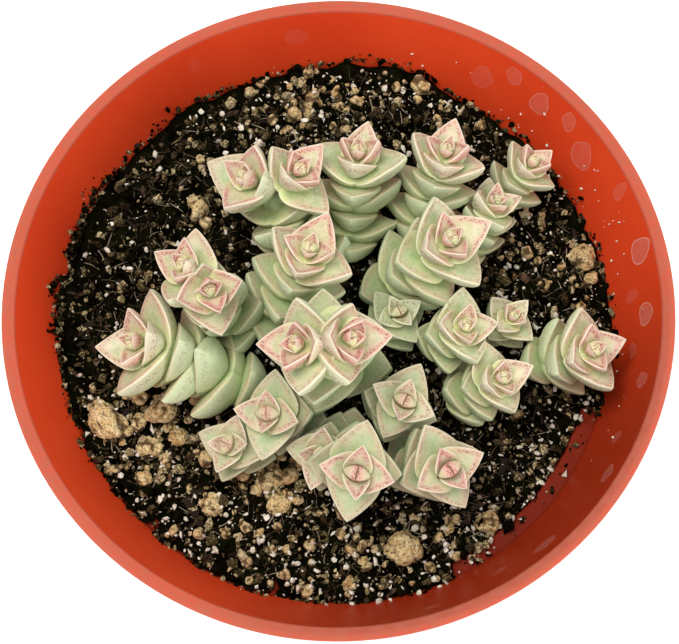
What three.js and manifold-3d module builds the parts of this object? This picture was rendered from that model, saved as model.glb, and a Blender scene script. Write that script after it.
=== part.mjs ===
// A potted Tom Thumb crassula: a small clump of stacked, four-ranked shoots in a 100 mm plastic pot.
// Millimetres, +Z up. The origin is the middle of the pot's flat underside, and -Y is the front.

import * as THREE from 'three';
import { mergeVertices } from 'three/addons/utils/BufferGeometryUtils.js';
import Module from 'manifold-3d';

const wasm = await Module();
wasm.setup();

// Pot: a moulded nursery pot with a flared collar and a ledge inside it
const POT_HEIGHT = 85;
const RIM_RADIUS = 50;
const RIM_WIDTH = 1.9;
const RIM_ROUND = 0.5;
const BASE_RADIUS = 33;
const BASE_THICKNESS = 2;
const BASE_ROUND = 1;
const COLLAR_HEIGHT = 19.5;
const COLLAR_FOOT_RADIUS = 45;
const BODY_TOP_RADIUS = 42.2;
const BODY_WALL = 1.7;
const LEDGE_DEPTH = 17.5;
const LEDGE_OUTER_RADIUS = 42.9;
const POT_SIDES = 44;

// Drainage: round holes, each with a shallow channel out to the pot's edge
const DRAIN_HOLES = 6;
const DRAIN_RADIUS = 3.2;
const DRAIN_SIDES = 16;
const DRAIN_CIRCLE = 22;
const DRAIN_CHANNEL_END = 36;
const DRAIN_CHANNEL_WIDTH = 5;
const DRAIN_CHANNEL_DEPTH = 0.7;

// Soil: a plug that fills the pot to about the ledge, uneven on top
const CLEARANCE = 0.3;
const SOIL_LEVEL = 70.6;
const SOIL_SLOPE = [-0.02, 0.045];
const SOIL_WAVE = { height: 0.55, alongX: 4.8, alongY: 5.9 };
const SOIL_BUMPS = [
  { at: [33, -26], height: -1.7, spread: 16.1 },
  { at: [-33, -28], height: -1.6, spread: 17.3 },
  { at: [8, 40], height: 1.8, spread: 12.6 },
];
const SOIL_REACH = 47;
const SOIL_RINGS = 7;
const SOIL_SIDES = 30;
const SOIL_LUMP = 0.55;
const SOIL_SEED = 5;

// Small grains that stand half out of the soil: how many, how far from the middle, and their sizes
const GRAINS = { count: 16, reach: 39, smallest: 0.8, spread: 0.9, wide: 0.85, high: 0.8 };
const GRAIN_TURN = 37;
const GRAIN_PROUD = 0.2;
const GRAIN_SEED = 29;
const GRAIN_TO_STALK = 3.2;

// Shoots: stalk in the soil, stem inside the leaves
const STALK_RADIUS = 1.25;
const STALK_SIDES = 5;
const STALK_DEPTH = 8;
const STALK_HOLE_RADIUS = 1.64;
const STALK_HOLE_SIDES = 6;
const STALK_HOLE_TOP = 6;
const STEM_STEPS = 3;
const BEND_EARLY = 0.25;
const BEND_LATE = 0.4;
const LEAF_FREE_HEIGHT = 2.6;

// Crown pairs from the bud outwards, in shares of the shoot's size: how far below the bud's tip the pair
// grows, the length of a leaf, how far it opens from the stem in degrees, and how much it curls back up
const CROWN_PAIRS = [
  { below: 0.46, length: 0.5, open: 27, curl: 38, bud: true },
  { below: 0.52, length: 0.8, open: 54, curl: 30 },
  { below: 0.66, length: 0.98, open: 73, curl: 20 },
  { below: 0.92, length: 1.05, open: 82, curl: 14 },
];
const OLD_PAIR = { spacing: 0.32, length: 1.0, open: 86, curl: 8 };

// Sections along a leaf, in shares of its length: half width, depth of the keel, lift of the margins
const LEAF_ROOT = { half: 0.44, keel: 0.36, lift: 0.02 };
const LEAF_SECTIONS = [
  { along: 0.36, half: 0.52, keel: 0.35, lift: 0.04 },
  { along: 0.74, half: 0.31, keel: 0.25, lift: 0.02 },
];
const BUD_SECTIONS = [{ along: 0.5, half: 0.46, keel: 0.3, lift: 0.04 }];
const LEAF_TIP_DROP = 0.04;
const STEEPEST_ROOT = 0.6;

// Each shoot: the node it belongs to, its foot on the soil or the place where it leaves a trunk, its bud's
// tip, the lean of its crown (how far the axis moves along X and Y for each unit of rise), its size (length
// of an outer leaf), the direction of its outer pair in degrees, and how many leaf pairs it has at most.
const SHOOTS = [
  {
    node: 'twin_stem_back_left', foot: [-2.5, 8.5], tip: [-9.6, 17, 84.4],
    lean: [-0.1, 0.25], size: 8.1, turn: -12, pairs: 3, trunk: true,
  },
  {
    node: 'twin_stem_back_left', from: [-9.9, 16.8, 81.5], tip: [-13.4, 17.6, 91],
    lean: [-0.15, 0], size: 7.5, turn: 152, pairs: 3,
  },
  {
    node: 'twin_stem_back_left', from: [-9.2, 16.8, 81.5], tip: [-5, 18, 92],
    lean: [0.1, 0], size: 6.9, turn: -41, pairs: 3,
  },
  {
    node: 'stem_middle_back', foot: [-10, 0.8], tip: [-3.9, 5.9, 91.2],
    lean: [0.05, 0.02], size: 7.3, turn: 162, pairs: 7,
  },
  {
    node: 'twin_stem_middle', foot: [-0.5, -7], tip: [-2.7, -8.8, 91.5],
    lean: [-0.05, -0.1], size: 9.2, turn: -6, pairs: 5, trunk: true,
  },
  {
    node: 'twin_stem_middle', from: [-3.2, -8.8, 88.5], tip: [-6.2, -10, 97],
    lean: [-0.15, -0.1], size: 7.7, turn: 90, pairs: 3,
  },
  {
    node: 'twin_stem_middle', from: [-2, -8.8, 88.5], tip: [1.9, -9.5, 97],
    lean: [0.12, -0.1], size: 7.3, turn: 92, pairs: 3,
  },
  {
    node: 'twin_stem_left', foot: [-15, -0.8], tip: [-20.3, 2.7, 84.8],
    lean: [-0.25, 0.1], size: 6.7, turn: -85, pairs: 4, trunk: true,
  },
  {
    node: 'twin_stem_left', from: [-20.6, 2.9, 81.6], tip: [-22.8, 4.8, 89],
    lean: [-0.15, 0.08], size: 6.8, turn: 70, pairs: 3,
  },
  {
    node: 'twin_stem_left', from: [-20, 2.5, 81.6], tip: [-18.6, 0.4, 89.6],
    lean: [0.05, -0.1], size: 7.1, turn: -78, pairs: 3,
  },
  {
    node: 'stem_far_left', foot: [-14, -9.8], tip: [-30.8, -6.4, 84.9],
    lean: [-0.28, -0.04], size: 8, turn: 109, pairs: 7,
  },
  {
    node: 'stem_back', foot: [2.5, 12.5], tip: [3.8, 22, 89.5],
    lean: [0.02, 0.05], size: 7.1, turn: -8, pairs: 8,
  },
  {
    node: 'stem_back_right', foot: [12.5, 14.5], tip: [17.1, 21.9, 89.2],
    lean: [0.05, 0.08], size: 6.7, turn: -22, pairs: 7,
  },
  {
    node: 'stem_right_upper', foot: [20, 11], tip: [25.1, 16.1, 82.4],
    lean: [0.12, 0.03], size: 5.4, turn: 92, pairs: 6,
  },
  {
    node: 'stem_far_back_right', foot: [26.5, 19.5], tip: [31.2, 22.6, 82],
    lean: [0.12, 0.05], size: 5.3, turn: 135, pairs: 6,
  },
  {
    node: 'stem_pink_right', foot: [9, 5.5], tip: [17, 6.8, 91],
    lean: [0.12, -0.05], size: 7.7, turn: 118, pairs: 7,
  },
  {
    node: 'stem_green_middle', foot: [7.6, -1.8], tip: [9.3, -1, 80.8],
    lean: [0.03, 0], size: 5.1, turn: 119, pairs: 5,
  },
  {
    node: 'stem_right_inner', foot: [15, -4.5], tip: [19, -4.4, 84],
    lean: [0.08, 0], size: 6.1, turn: 92, pairs: 7,
  },
  {
    node: 'stem_right_small', foot: [24.6, -1.5], tip: [26.8, -1.8, 79.5],
    lean: [0.08, 0.03], size: 4.5, turn: -45, pairs: 5,
  },
  {
    node: 'stem_right_front', foot: [18.5, -12.5], tip: [24.2, -12.3, 82.5],
    lean: [0.08, -0.04], size: 5.8, turn: 101, pairs: 6,
  },
  {
    node: 'stem_far_right', foot: [30.5, -6.5], tip: [38, -8.4, 82.8],
    lean: [0.08, -0.04], size: 6.7, turn: 113, pairs: 6,
  },
  {
    node: 'stem_front_middle', foot: [7, -13.5], tip: [9.4, -15.8, 84],
    lean: [0.05, -0.06], size: 6.2, turn: 63, pairs: 7,
  },
  {
    node: 'stem_front_right', foot: [10.4, -22.7], tip: [15.5, -26.2, 84],
    lean: [0.08, -0.1], size: 6.8, turn: 121, pairs: 6,
  },
  {
    node: 'stem_front', foot: [1, -20], tip: [2, -27, 87],
    lean: [0.02, -0.15], size: 7.1, turn: 79, pairs: 7,
  },
  {
    node: 'stem_front', foot: [-0.5, -19], tip: [-3.6, -23.6, 83],
    lean: [-0.12, -0.12], size: 5.8, turn: 165, pairs: 6,
  },
  {
    node: 'stem_front_left', foot: [-7, -15], tip: [-10.9, -17.2, 84.5],
    lean: [-0.08, -0.06], size: 6.4, turn: 80, pairs: 6,
  },
  {
    node: 'stem_low_left', foot: [-14.5, -20], tip: [-17.2, -20.6, 80],
    lean: [-0.12, -0.05], size: 5.7, turn: 161, pairs: 5,
  },
];

// The biggest stones of the pumice dressing: name, place on the soil, half sizes and turn in degrees
const STONES = [
  { name: 'pumice_stone_1', at: [-36.3, -14.6], half: [3.9, 2.6, 2.2], turn: -52 },
  { name: 'pumice_stone_2', at: [-28, -12.6], half: [2.7, 2.2, 1.7], turn: 20 },
  { name: 'pumice_stone_3', at: [-30, -18.8], half: [2.2, 2.0, 1.5], turn: 0 },
  { name: 'pumice_stone_4', at: [-20.3, -27.8], half: [1.8, 1.8, 1.4], turn: 0 },
  { name: 'pumice_stone_5', at: [-9.9, -27.9], half: [2.0, 1.8, 1.6], turn: 0 },
  { name: 'pumice_stone_6', at: [8.7, -35.3], half: [2.5, 2.4, 1.8], turn: 0 },
  { name: 'pumice_stone_7', at: [22, -31.2], half: [1.9, 1.7, 1.3], turn: 30 },
  { name: 'pumice_stone_8', at: [39.6, 10.4], half: [2.2, 2.0, 1.6], turn: 60 },
];
const STONE_SUNK = 0.35;
const STONE_UNEVEN = 0.24;
const STONE_SEED = 11;

const FINISH = {
  pot: { color: 0xc23a1e, roughness: 0.45 },
  soil: { color: 0x2a2219, roughness: 0.95 },
  pumice: { color: 0xc9a26b, roughness: 0.9 },
  leaves: { color: 0xb5cc96, roughness: 0.6 },
};

const WELD = 1e-4;
const radians = THREE.MathUtils.degToRad;

// A repeatable random number between 0 and 1
function randomSource(seed) {
  let state = seed;
  return () => {
    state = (state * 16807) % 2147483647;
    return state / 2147483647;
  };
}

function solidFrom(positions, triangles) {
  const mesh = new wasm.Mesh({
    numProp: 3,
    vertProperties: new Float32Array(positions.flat()),
    triVerts: new Uint32Array(triangles.flat()),
  });
  return new wasm.Manifold(mesh);
}

function solidFromGeometry(geometry) {
  const bare = geometry.clone();
  bare.deleteAttribute('normal');
  bare.deleteAttribute('uv');
  const merged = mergeVertices(bare, WELD);
  const mesh = new wasm.Mesh({
    numProp: 3,
    vertProperties: new Float32Array(merged.attributes.position.array),
    triVerts: new Uint32Array(merged.index.array),
  });
  return new wasm.Manifold(mesh);
}

function geometryFrom(solid) {
  const mesh = solid.getMesh();
  const geometry = new THREE.BufferGeometry();
  geometry.setAttribute('position', new THREE.BufferAttribute(new Float32Array(mesh.vertProperties), 3));
  geometry.setIndex(new THREE.BufferAttribute(new Uint32Array(mesh.triVerts), 1));
  geometry.computeVertexNormals();
  return geometry;
}

function largestBody(solid) {
  return solid.decompose().reduce((best, body) => (body.volume() > best.volume() ? body : best));
}

function namedMesh(name, solid, finish) {
  const material = new THREE.MeshStandardMaterial({ ...finish, metalness: 0 });
  const mesh = new THREE.Mesh(geometryFrom(solid), material);
  mesh.name = name;
  return mesh;
}

// A solid turned about Z from a closed list of [radius, height] points, anticlockwise in that plane
function turned(points, sides) {
  const profile = points.map(([radius, height]) => new THREE.Vector2(radius, height));
  profile.push(profile[0].clone());
  const geometry = new THREE.LatheGeometry(profile, sides);
  geometry.rotateX(Math.PI / 2);
  return solidFromGeometry(geometry);
}

// Radius of the pot's inside at a height, on the collar above the ledge
function collarRadiusAt(height) {
  const ledge = POT_HEIGHT - LEDGE_DEPTH;
  const share = (height - ledge) / LEDGE_DEPTH;
  return LEDGE_OUTER_RADIUS + share * (RIM_RADIUS - RIM_WIDTH - LEDGE_OUTER_RADIUS);
}

function potSolid() {
  const ledge = POT_HEIGHT - LEDGE_DEPTH;
  const collarFoot = POT_HEIGHT - COLLAR_HEIGHT;
  const bodyInner = BODY_TOP_RADIUS - BODY_WALL;
  const outline = [
    [0, 0],
    [BASE_RADIUS - BASE_ROUND, 0],
    [BASE_RADIUS, BASE_ROUND],
    [BODY_TOP_RADIUS, collarFoot],
    [COLLAR_FOOT_RADIUS, collarFoot],
    [RIM_RADIUS, POT_HEIGHT - RIM_ROUND],
    [RIM_RADIUS - RIM_ROUND, POT_HEIGHT],
    [RIM_RADIUS - RIM_WIDTH + RIM_ROUND, POT_HEIGHT],
    [RIM_RADIUS - RIM_WIDTH, POT_HEIGHT - RIM_ROUND],
    [LEDGE_OUTER_RADIUS, ledge],
    [bodyInner, ledge],
    [BASE_RADIUS - BODY_WALL, BASE_THICKNESS],
    [0, BASE_THICKNESS],
  ];
  let pot = turned(outline, POT_SIDES);
  for (let i = 0; i < DRAIN_HOLES; i += 1) {
    const angle = ((i + 0.5) / DRAIN_HOLES) * Math.PI * 2;
    const hole = new THREE.CylinderGeometry(DRAIN_RADIUS, DRAIN_RADIUS, BASE_THICKNESS * 3, DRAIN_SIDES);
    hole.rotateX(Math.PI / 2);
    hole.translate(DRAIN_CIRCLE, 0, BASE_THICKNESS / 2);
    hole.rotateZ(angle);
    const length = DRAIN_CHANNEL_END - DRAIN_CIRCLE;
    const channel = new THREE.BoxGeometry(length, DRAIN_CHANNEL_WIDTH, DRAIN_CHANNEL_DEPTH * 2);
    channel.translate(DRAIN_CIRCLE + length / 2, 0, 0);
    channel.rotateZ(angle);
    pot = pot.subtract(solidFromGeometry(hole)).subtract(solidFromGeometry(channel));
  }
  return pot;
}

// Height of the soil at a place: it is higher at the back left and lower at the right and the front left
function soilHeight(x, y) {
  const wave = SOIL_WAVE.height * Math.sin(x / SOIL_WAVE.alongX) * Math.cos(y / SOIL_WAVE.alongY);
  const slope = SOIL_SLOPE[0] * x + SOIL_SLOPE[1] * y;
  const bumps = SOIL_BUMPS.reduce((sum, { at, height, spread }) => {
    const away = Math.hypot(x - at[0], y - at[1]) / spread;
    return sum + height * Math.exp(-away * away);
  }, 0);
  return SOIL_LEVEL + wave + slope + bumps;
}

// The space in the pot that the soil may fill
function soilSpace() {
  const ledge = POT_HEIGHT - LEDGE_DEPTH + CLEARANCE;
  const neck = BODY_TOP_RADIUS - BODY_WALL - CLEARANCE;
  const outline = [
    [0, BASE_THICKNESS + CLEARANCE],
    [BASE_RADIUS - BODY_WALL - CLEARANCE, BASE_THICKNESS + CLEARANCE],
    [neck, ledge - 2 * CLEARANCE],
    [neck, ledge],
    [collarRadiusAt(ledge) - CLEARANCE, ledge],
    [collarRadiusAt(POT_HEIGHT) - CLEARANCE, POT_HEIGHT],
    [0, POT_HEIGHT],
  ];
  return turned(outline, POT_SIDES);
}

// A block whose top is the soil's uneven surface
function soilBlock() {
  const random = randomSource(SOIL_SEED);
  const positions = [[0, 0, soilHeight(0, 0)]];
  for (let ring = 1; ring <= SOIL_RINGS; ring += 1) {
    for (let side = 0; side < SOIL_SIDES; side += 1) {
      const angle = ((side + 0.5 * (ring % 2)) / SOIL_SIDES) * Math.PI * 2;
      const radius = (SOIL_REACH * ring) / SOIL_RINGS;
      const x = radius * Math.cos(angle);
      const y = radius * Math.sin(angle);
      positions.push([x, y, soilHeight(x, y) + (random() - 0.5) * SOIL_LUMP]);
    }
  }
  const floorRing = positions.length;
  for (let side = 0; side < SOIL_SIDES; side += 1) {
    const [x, y] = positions[floorRing - SOIL_SIDES + side];
    positions.push([x, y, 0]);
  }
  const floorMiddle = positions.push([0, 0, 0]) - 1;
  const triangles = [];
  for (let side = 0; side < SOIL_SIDES; side += 1) {
    const next = (side + 1) % SOIL_SIDES;
    triangles.push([0, 1 + side, 1 + next]);
    for (let ring = 0; ring < SOIL_RINGS; ring += 1) {
      const here = 1 + ring * SOIL_SIDES;
      const out = here + SOIL_SIDES;
      triangles.push([here + side, out + side, out + next], [here + side, out + next, here + next]);
    }
    triangles.push([floorRing + side, floorMiddle, floorRing + next]);
  }
  return solidFrom(positions, triangles);
}

// A rough stone: an icosahedron with uneven corners, stretched to its half sizes
function stoneSolid(half, turn, centre, detail, seed) {
  const random = randomSource(seed);
  const geometry = new THREE.IcosahedronGeometry(1, detail);
  geometry.deleteAttribute('normal');
  geometry.deleteAttribute('uv');
  const stone = mergeVertices(geometry, WELD);
  const position = stone.attributes.position;
  for (let i = 0; i < position.count; i += 1) {
    const uneven = 1 + STONE_UNEVEN * (random() - 0.5);
    position.setXYZ(i, position.getX(i) * uneven, position.getY(i) * uneven, position.getZ(i) * uneven);
  }
  stone.scale(...half);
  stone.rotateZ(radians(turn));
  stone.translate(...centre);
  return solidFromGeometry(stone);
}

function stoneCentre(stone) {
  const [x, y] = stone.at;
  return [x, y, soilHeight(x, y) + stone.half[2] * (1 - 2 * STONE_SUNK)];
}

function stoneGrown(stone, growth) {
  const half = stone.half.map((size) => size + growth);
  return stoneSolid(half, stone.turn, stoneCentre(stone), 1, STONE_SEED + STONES.indexOf(stone));
}

// Centre line of a shoot: straight up out of the soil, then curving into the crown's lean
function shootCurve(shoot) {
  const axis = new THREE.Vector3(shoot.lean[0], shoot.lean[1], 1).normalize();
  const tip = new THREE.Vector3(...shoot.tip);
  const start = shoot.from
    ? new THREE.Vector3(...shoot.from)
    : new THREE.Vector3(shoot.foot[0], shoot.foot[1], soilHeight(...shoot.foot));
  const reach = start.distanceTo(tip);
  const up = shoot.from ? tip.clone().sub(start).normalize() : new THREE.Vector3(0, 0, 1);
  const early = start.clone().addScaledVector(up, reach * BEND_EARLY);
  const late = tip.clone().addScaledVector(axis, -reach * BEND_LATE);
  return new THREE.CubicBezierCurve3(start, early, late, tip);
}

// Two leaves joined at their roots round the stem, as one body. Each opens from the stem and curls back up.
function pairSolid(base, axis, outward, length, form) {
  const side = new THREE.Vector3().crossVectors(axis, outward);
  const start = radians(form.open);
  const bend = radians(form.curl);
  const sections = form.bud ? BUD_SECTIONS : LEAF_SECTIONS;
  const place = (along, hand, across, above) => {
    const angle = start - bend * along;
    const radial = (length * (Math.cos(angle) - Math.cos(start))) / bend;
    const rise = (length * (Math.sin(start) - Math.sin(angle))) / bend;
    return base
      .clone()
      .addScaledVector(outward, hand * (radial - above * Math.cos(angle)))
      .addScaledVector(axis, rise + above * Math.sin(angle))
      .addScaledVector(side, across)
      .toArray();
  };
  const section = ({ along, half, keel, lift }, hand) => [
    place(along, hand, -half * length, lift * length),
    place(along, hand, half * length, lift * length),
    place(along, hand, 0, -keel * length),
  ];
  const rootKeel = LEAF_ROOT.keel / Math.max(Math.sin(start), STEEPEST_ROOT);
  const rootPoint = (across, above) => base
    .clone()
    .addScaledVector(side, across * length)
    .addScaledVector(axis, above * length)
    .toArray();
  const root = [
    rootPoint(-LEAF_ROOT.half, LEAF_ROOT.lift),
    rootPoint(LEAF_ROOT.half, LEAF_ROOT.lift),
    rootPoint(0, -rootKeel),
  ];
  const rings = [
    ...[...sections].reverse().map((shape) => section(shape, -1)),
    root,
    ...sections.map((shape) => section(shape, 1)),
  ];
  const positions = rings.flat();
  const nearTip = positions.push(place(1, -1, 0, -LEAF_TIP_DROP * length)) - 1;
  const farTip = positions.push(place(1, 1, 0, -LEAF_TIP_DROP * length)) - 1;
  const corners = root.length;
  const last = (rings.length - 1) * corners;
  const triangles = [];
  for (let corner = 0; corner < corners; corner += 1) {
    const next = (corner + 1) % corners;
    triangles.push([corner, next, nearTip], [last + corner, farTip, last + next]);
    for (let ring = 0; ring < last; ring += corners) {
      const a = ring + corner;
      const b = ring + next;
      triangles.push([a, a + corners, b + corners], [a, b + corners, b]);
    }
  }
  return solidFrom(positions, triangles);
}

// The leaf pairs of a shoot from the bud down, each turned a quarter from the one above it
function leafPairs(shoot, curve) {
  const total = curve.getLength();
  const pairs = [];
  let below = 0;
  for (let i = 0; i < shoot.pairs; i += 1) {
    const young = !shoot.trunk && i < CROWN_PAIRS.length;
    const form = young ? CROWN_PAIRS[i] : OLD_PAIR;
    below = young ? form.below : below + OLD_PAIR.spacing;
    const share = 1 - (below * shoot.size) / total;
    if (share < 0) break;
    const base = curve.getPointAt(share);
    if (shoot.foot && base.z - soilHeight(base.x, base.y) < LEAF_FREE_HEIGHT) break;
    const outer = shoot.trunk ? 0 : CROWN_PAIRS.length - 1;
    pairs.push({ share, base, axis: curve.getTangentAt(share), turn: shoot.turn + 90 * (i - outer), form });
  }
  return pairs;
}

function shootSolids(shoot) {
  const curve = shootCurve(shoot);
  const upright = new THREE.Vector3(0, 0, 1);
  const pairs = leafPairs(shoot, curve);
  const solids = pairs.map(({ base, axis, turn, form }) => {
    const tilt = new THREE.Quaternion().setFromUnitVectors(upright, axis);
    const angle = radians(turn);
    const outward = new THREE.Vector3(Math.cos(angle), Math.sin(angle), 0).applyQuaternion(tilt);
    return pairSolid(base, axis, outward, form.length * shoot.size, form);
  });
  solids.push(stemSolid(shoot, curve, shoot.trunk ? 1 : pairs.at(-1).share));
  return solids;
}

// The bare stem, from below the soil or from its trunk up to its lowest leaves, as a flat-sided tube
function stemSolid(shoot, curve, topShare) {
  const rings = shoot.foot ? STEM_STEPS : 1;
  const upright = new THREE.Vector3(0, 0, 1);
  const places = [];
  if (shoot.foot) {
    const foot = curve.getPointAt(0);
    places.push({ at: foot.clone().setZ(foot.z - STALK_DEPTH), axis: upright });
  }
  for (let i = 0; i <= rings; i += 1) {
    const share = (topShare * i) / rings;
    const axis = i === 0 && shoot.foot ? upright : curve.getTangentAt(share);
    places.push({ at: curve.getPointAt(share), axis });
  }
  const positions = [];
  for (const { at, axis } of places) {
    const tilt = new THREE.Quaternion().setFromUnitVectors(upright, axis);
    for (let side = 0; side < STALK_SIDES; side += 1) {
      const angle = (side / STALK_SIDES) * Math.PI * 2;
      const spoke = new THREE.Vector3(Math.cos(angle), Math.sin(angle), 0).applyQuaternion(tilt);
      positions.push(at.clone().addScaledVector(spoke, STALK_RADIUS).toArray());
    }
  }
  const triangles = [];
  const lastRing = (places.length - 1) * STALK_SIDES;
  for (let side = 0; side < STALK_SIDES; side += 1) {
    const next = (side + 1) % STALK_SIDES;
    for (let ring = 0; ring < lastRing; ring += STALK_SIDES) {
      const above = ring + STALK_SIDES;
      triangles.push([ring + side, ring + next, above + next], [ring + side, above + next, above + side]);
    }
    if (side > 0 && next > 0) {
      triangles.push([0, next, side], [lastRing, lastRing + side, lastRing + next]);
    }
  }
  return solidFrom(positions, triangles);
}

// The hole in the soil that a stalk stands in
function stalkHole(shoot) {
  const [x, y] = shoot.foot;
  const depth = STALK_DEPTH + CLEARANCE;
  const hole = new THREE.CylinderGeometry(
    STALK_HOLE_RADIUS,
    STALK_HOLE_RADIUS,
    depth + STALK_HOLE_TOP,
    STALK_HOLE_SIDES,
  );
  hole.rotateX(Math.PI / 2);
  hole.translate(x, y, soilHeight(x, y) + (STALK_HOLE_TOP - depth) / 2);
  return solidFromGeometry(hole);
}

// The small grains, where no stalk or stone stands
function grainSolids() {
  const random = randomSource(GRAIN_SEED);
  const grains = [];
  for (let i = 0; i < GRAINS.count; i += 1) {
    const radius = GRAINS.reach * Math.sqrt(random());
    const angle = random() * Math.PI * 2;
    const x = radius * Math.cos(angle);
    const y = radius * Math.sin(angle);
    const size = GRAINS.smallest + GRAINS.spread * random();
    const clear = SHOOTS.every(({ foot }) => !foot || Math.hypot(x - foot[0], y - foot[1]) > GRAIN_TO_STALK)
      && STONES.every(({ at, half }) => Math.hypot(x - at[0], y - at[1]) > half[0] + size);
    if (clear) {
      const half = [size, size * GRAINS.wide, size * GRAINS.high];
      const centre = [x, y, soilHeight(x, y) + size * GRAIN_PROUD];
      grains.push(stoneSolid(half, i * GRAIN_TURN, centre, 0, GRAIN_SEED + i));
    }
  }
  return grains;
}

function soilSolid() {
  let soil = wasm.Manifold.union([soilBlock(), ...grainSolids()]).intersect(soilSpace());
  for (const stone of STONES) soil = soil.subtract(stoneGrown(stone, CLEARANCE));
  for (const shoot of SHOOTS) {
    if (shoot.foot) soil = soil.subtract(stalkHole(shoot));
  }
  return largestBody(soil);
}

const plant = new THREE.Group();
plant.add(namedMesh('pot', potSolid(), FINISH.pot));
plant.add(namedMesh('soil', soilSolid(), FINISH.soil));
for (const stone of STONES) plant.add(namedMesh(stone.name, stoneGrown(stone, 0), FINISH.pumice));
for (const node of new Set(SHOOTS.map((shoot) => shoot.node))) {
  const solids = SHOOTS.filter((shoot) => shoot.node === node).flatMap(shootSolids);
  plant.add(namedMesh(node, largestBody(wasm.Manifold.union(solids)), FINISH.leaves));
}

export default plant;
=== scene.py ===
# %% [markdown]
# # A potted tom thumb crassula
#
# The real object is a small succulent: a clump of short stems, each a stack of thick triangular leaf
# pairs, in dark potting mix with pumice, in a red plastic nursery pot. The solids of the frame already
# have every size and place. This lesson replaces them one kind at a time by finer meshes of the same
# form, and gives each its finish.
#
# The first cell loads the frame.

import math

import bmesh
import bpy
import numpy as np
from mathutils import Matrix, Vector


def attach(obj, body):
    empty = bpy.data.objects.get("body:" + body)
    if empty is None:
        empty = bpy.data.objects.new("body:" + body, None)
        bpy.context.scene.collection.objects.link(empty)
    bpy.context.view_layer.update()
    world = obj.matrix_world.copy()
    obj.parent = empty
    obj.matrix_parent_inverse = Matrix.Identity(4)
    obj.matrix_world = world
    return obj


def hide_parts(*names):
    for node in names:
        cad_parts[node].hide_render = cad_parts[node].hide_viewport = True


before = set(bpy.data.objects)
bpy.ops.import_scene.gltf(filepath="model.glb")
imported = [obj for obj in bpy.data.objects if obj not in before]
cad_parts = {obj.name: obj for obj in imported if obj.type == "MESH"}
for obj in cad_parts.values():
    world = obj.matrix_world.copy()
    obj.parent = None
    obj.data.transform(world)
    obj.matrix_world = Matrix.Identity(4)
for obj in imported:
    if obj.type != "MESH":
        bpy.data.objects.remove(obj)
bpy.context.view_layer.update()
MM = 0.001
print("nodes in the frame:", len(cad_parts))

# %% [markdown]
# ## The camera
#
# The photograph looks steeply down into the pot from close by. A camera's place can be guessed by eye, or
# worked out from something round: the two edges of the rim are circles of known size, and only one camera
# turns them into the ellipses of the photograph. That camera is a short hand's length above the rim, 71
# degrees above the horizon. It is also turned by small angles, since the pot isn't quite in the middle.

# %% Camera
RIM_MIDDLE = Vector((0, 0, 85 * MM))
CAMERA_DISTANCE = 197.62 * MM
CAMERA_ELEVATION = math.radians(71.31)
CAMERA_YAW = 0.0007
CAMERA_PITCH = -0.0192
CAMERA_ROLL = 0.0281
LENS = 70.56
SENSOR_WIDTH = 36
NEAREST_SEEN = 0.01

outwards = Vector((0, -math.cos(CAMERA_ELEVATION), math.sin(CAMERA_ELEVATION)))
right = Vector((1, 0, 0))
forward = -outwards
up = right.cross(forward)


def turned_pair(first, second, angle):
    """Two axes turned in their own plane."""
    cosine, sine = math.cos(angle), math.sin(angle)
    return first * cosine - second * sine, first * sine + second * cosine


right, forward = turned_pair(right, forward, CAMERA_YAW)
up, forward = turned_pair(up, forward, CAMERA_PITCH)
right, up = turned_pair(right, up, CAMERA_ROLL)

camera_data = bpy.data.cameras.new("camera")
camera_data.lens = LENS
camera_data.sensor_width = SENSOR_WIDTH
camera_data.clip_start = NEAREST_SEEN
camera = bpy.data.objects.new("camera", camera_data)
turn = Matrix((right, up, -forward)).transposed().to_4x4()
camera.matrix_world = Matrix.Translation(RIM_MIDDLE + outwards * CAMERA_DISTANCE) @ turn
bpy.context.scene.collection.objects.link(camera)
bpy.context.scene.camera = camera
print("camera at", [round(x, 4) for x in camera.matrix_world.translation])

# %% [markdown]
# ## Shader nodes that add up
#
# Sky, plastic, leaf and stone are all made of shader nodes. Added and joined one by one, nodes hide the
# thought behind a finish. So what a node hands on is wrapped in a small class here, `Flow`: two flows can
# be added and multiplied like numbers, and each sum makes the node that works it out. `between` makes a
# soft step from 0 to 1, and `mixed` takes one colour over into another.


# %% Flows
class Flow:
    """What one output of a shader node hands on. Flows add and multiply like plain numbers."""

    def __init__(self, socket):
        self.socket = socket
        self.tree = socket.id_data

    def sibling(self, output):
        """Another output of the same node."""
        return Flow(self.socket.node.outputs[output])

    def step(self, operation, first, second=0.0):
        """One step of arithmetic, as a node."""
        return add_node(self.tree, "ShaderNodeMath", 0, {"operation": operation}, {0: first, 1: second})

    def __add__(self, other):
        return self.step("ADD", self, other)

    def __sub__(self, other):
        return self.step("SUBTRACT", self, other)

    def __rsub__(self, other):
        return self.step("SUBTRACT", other, self)

    def __mul__(self, other):
        return self.step("MULTIPLY", self, other)

    def __truediv__(self, other):
        return self.step("DIVIDE", self, other)

    def __rtruediv__(self, other):
        return self.step("DIVIDE", other, self)

    def or_more(self, other):
        """The larger of two flows."""
        return self.step("MAXIMUM", self, other)


def feed(node, inputs):
    """Sets a node's sockets: each to a number, a colour, or the flow out of another node."""
    for socket, value in inputs.items():
        if isinstance(value, Flow):
            node.id_data.links.new(value.socket, node.inputs[socket])
        else:
            node.inputs[socket].default_value = value


def add_node(tree, kind, output, settings=None, inputs=None):
    """Adds a shader node and gives the flow out of one of its outputs."""
    node = tree.nodes.new(kind)
    for name, value in (settings or {}).items():
        setattr(node, name, value)
    feed(node, inputs or {})
    return Flow(node.outputs[output])


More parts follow.
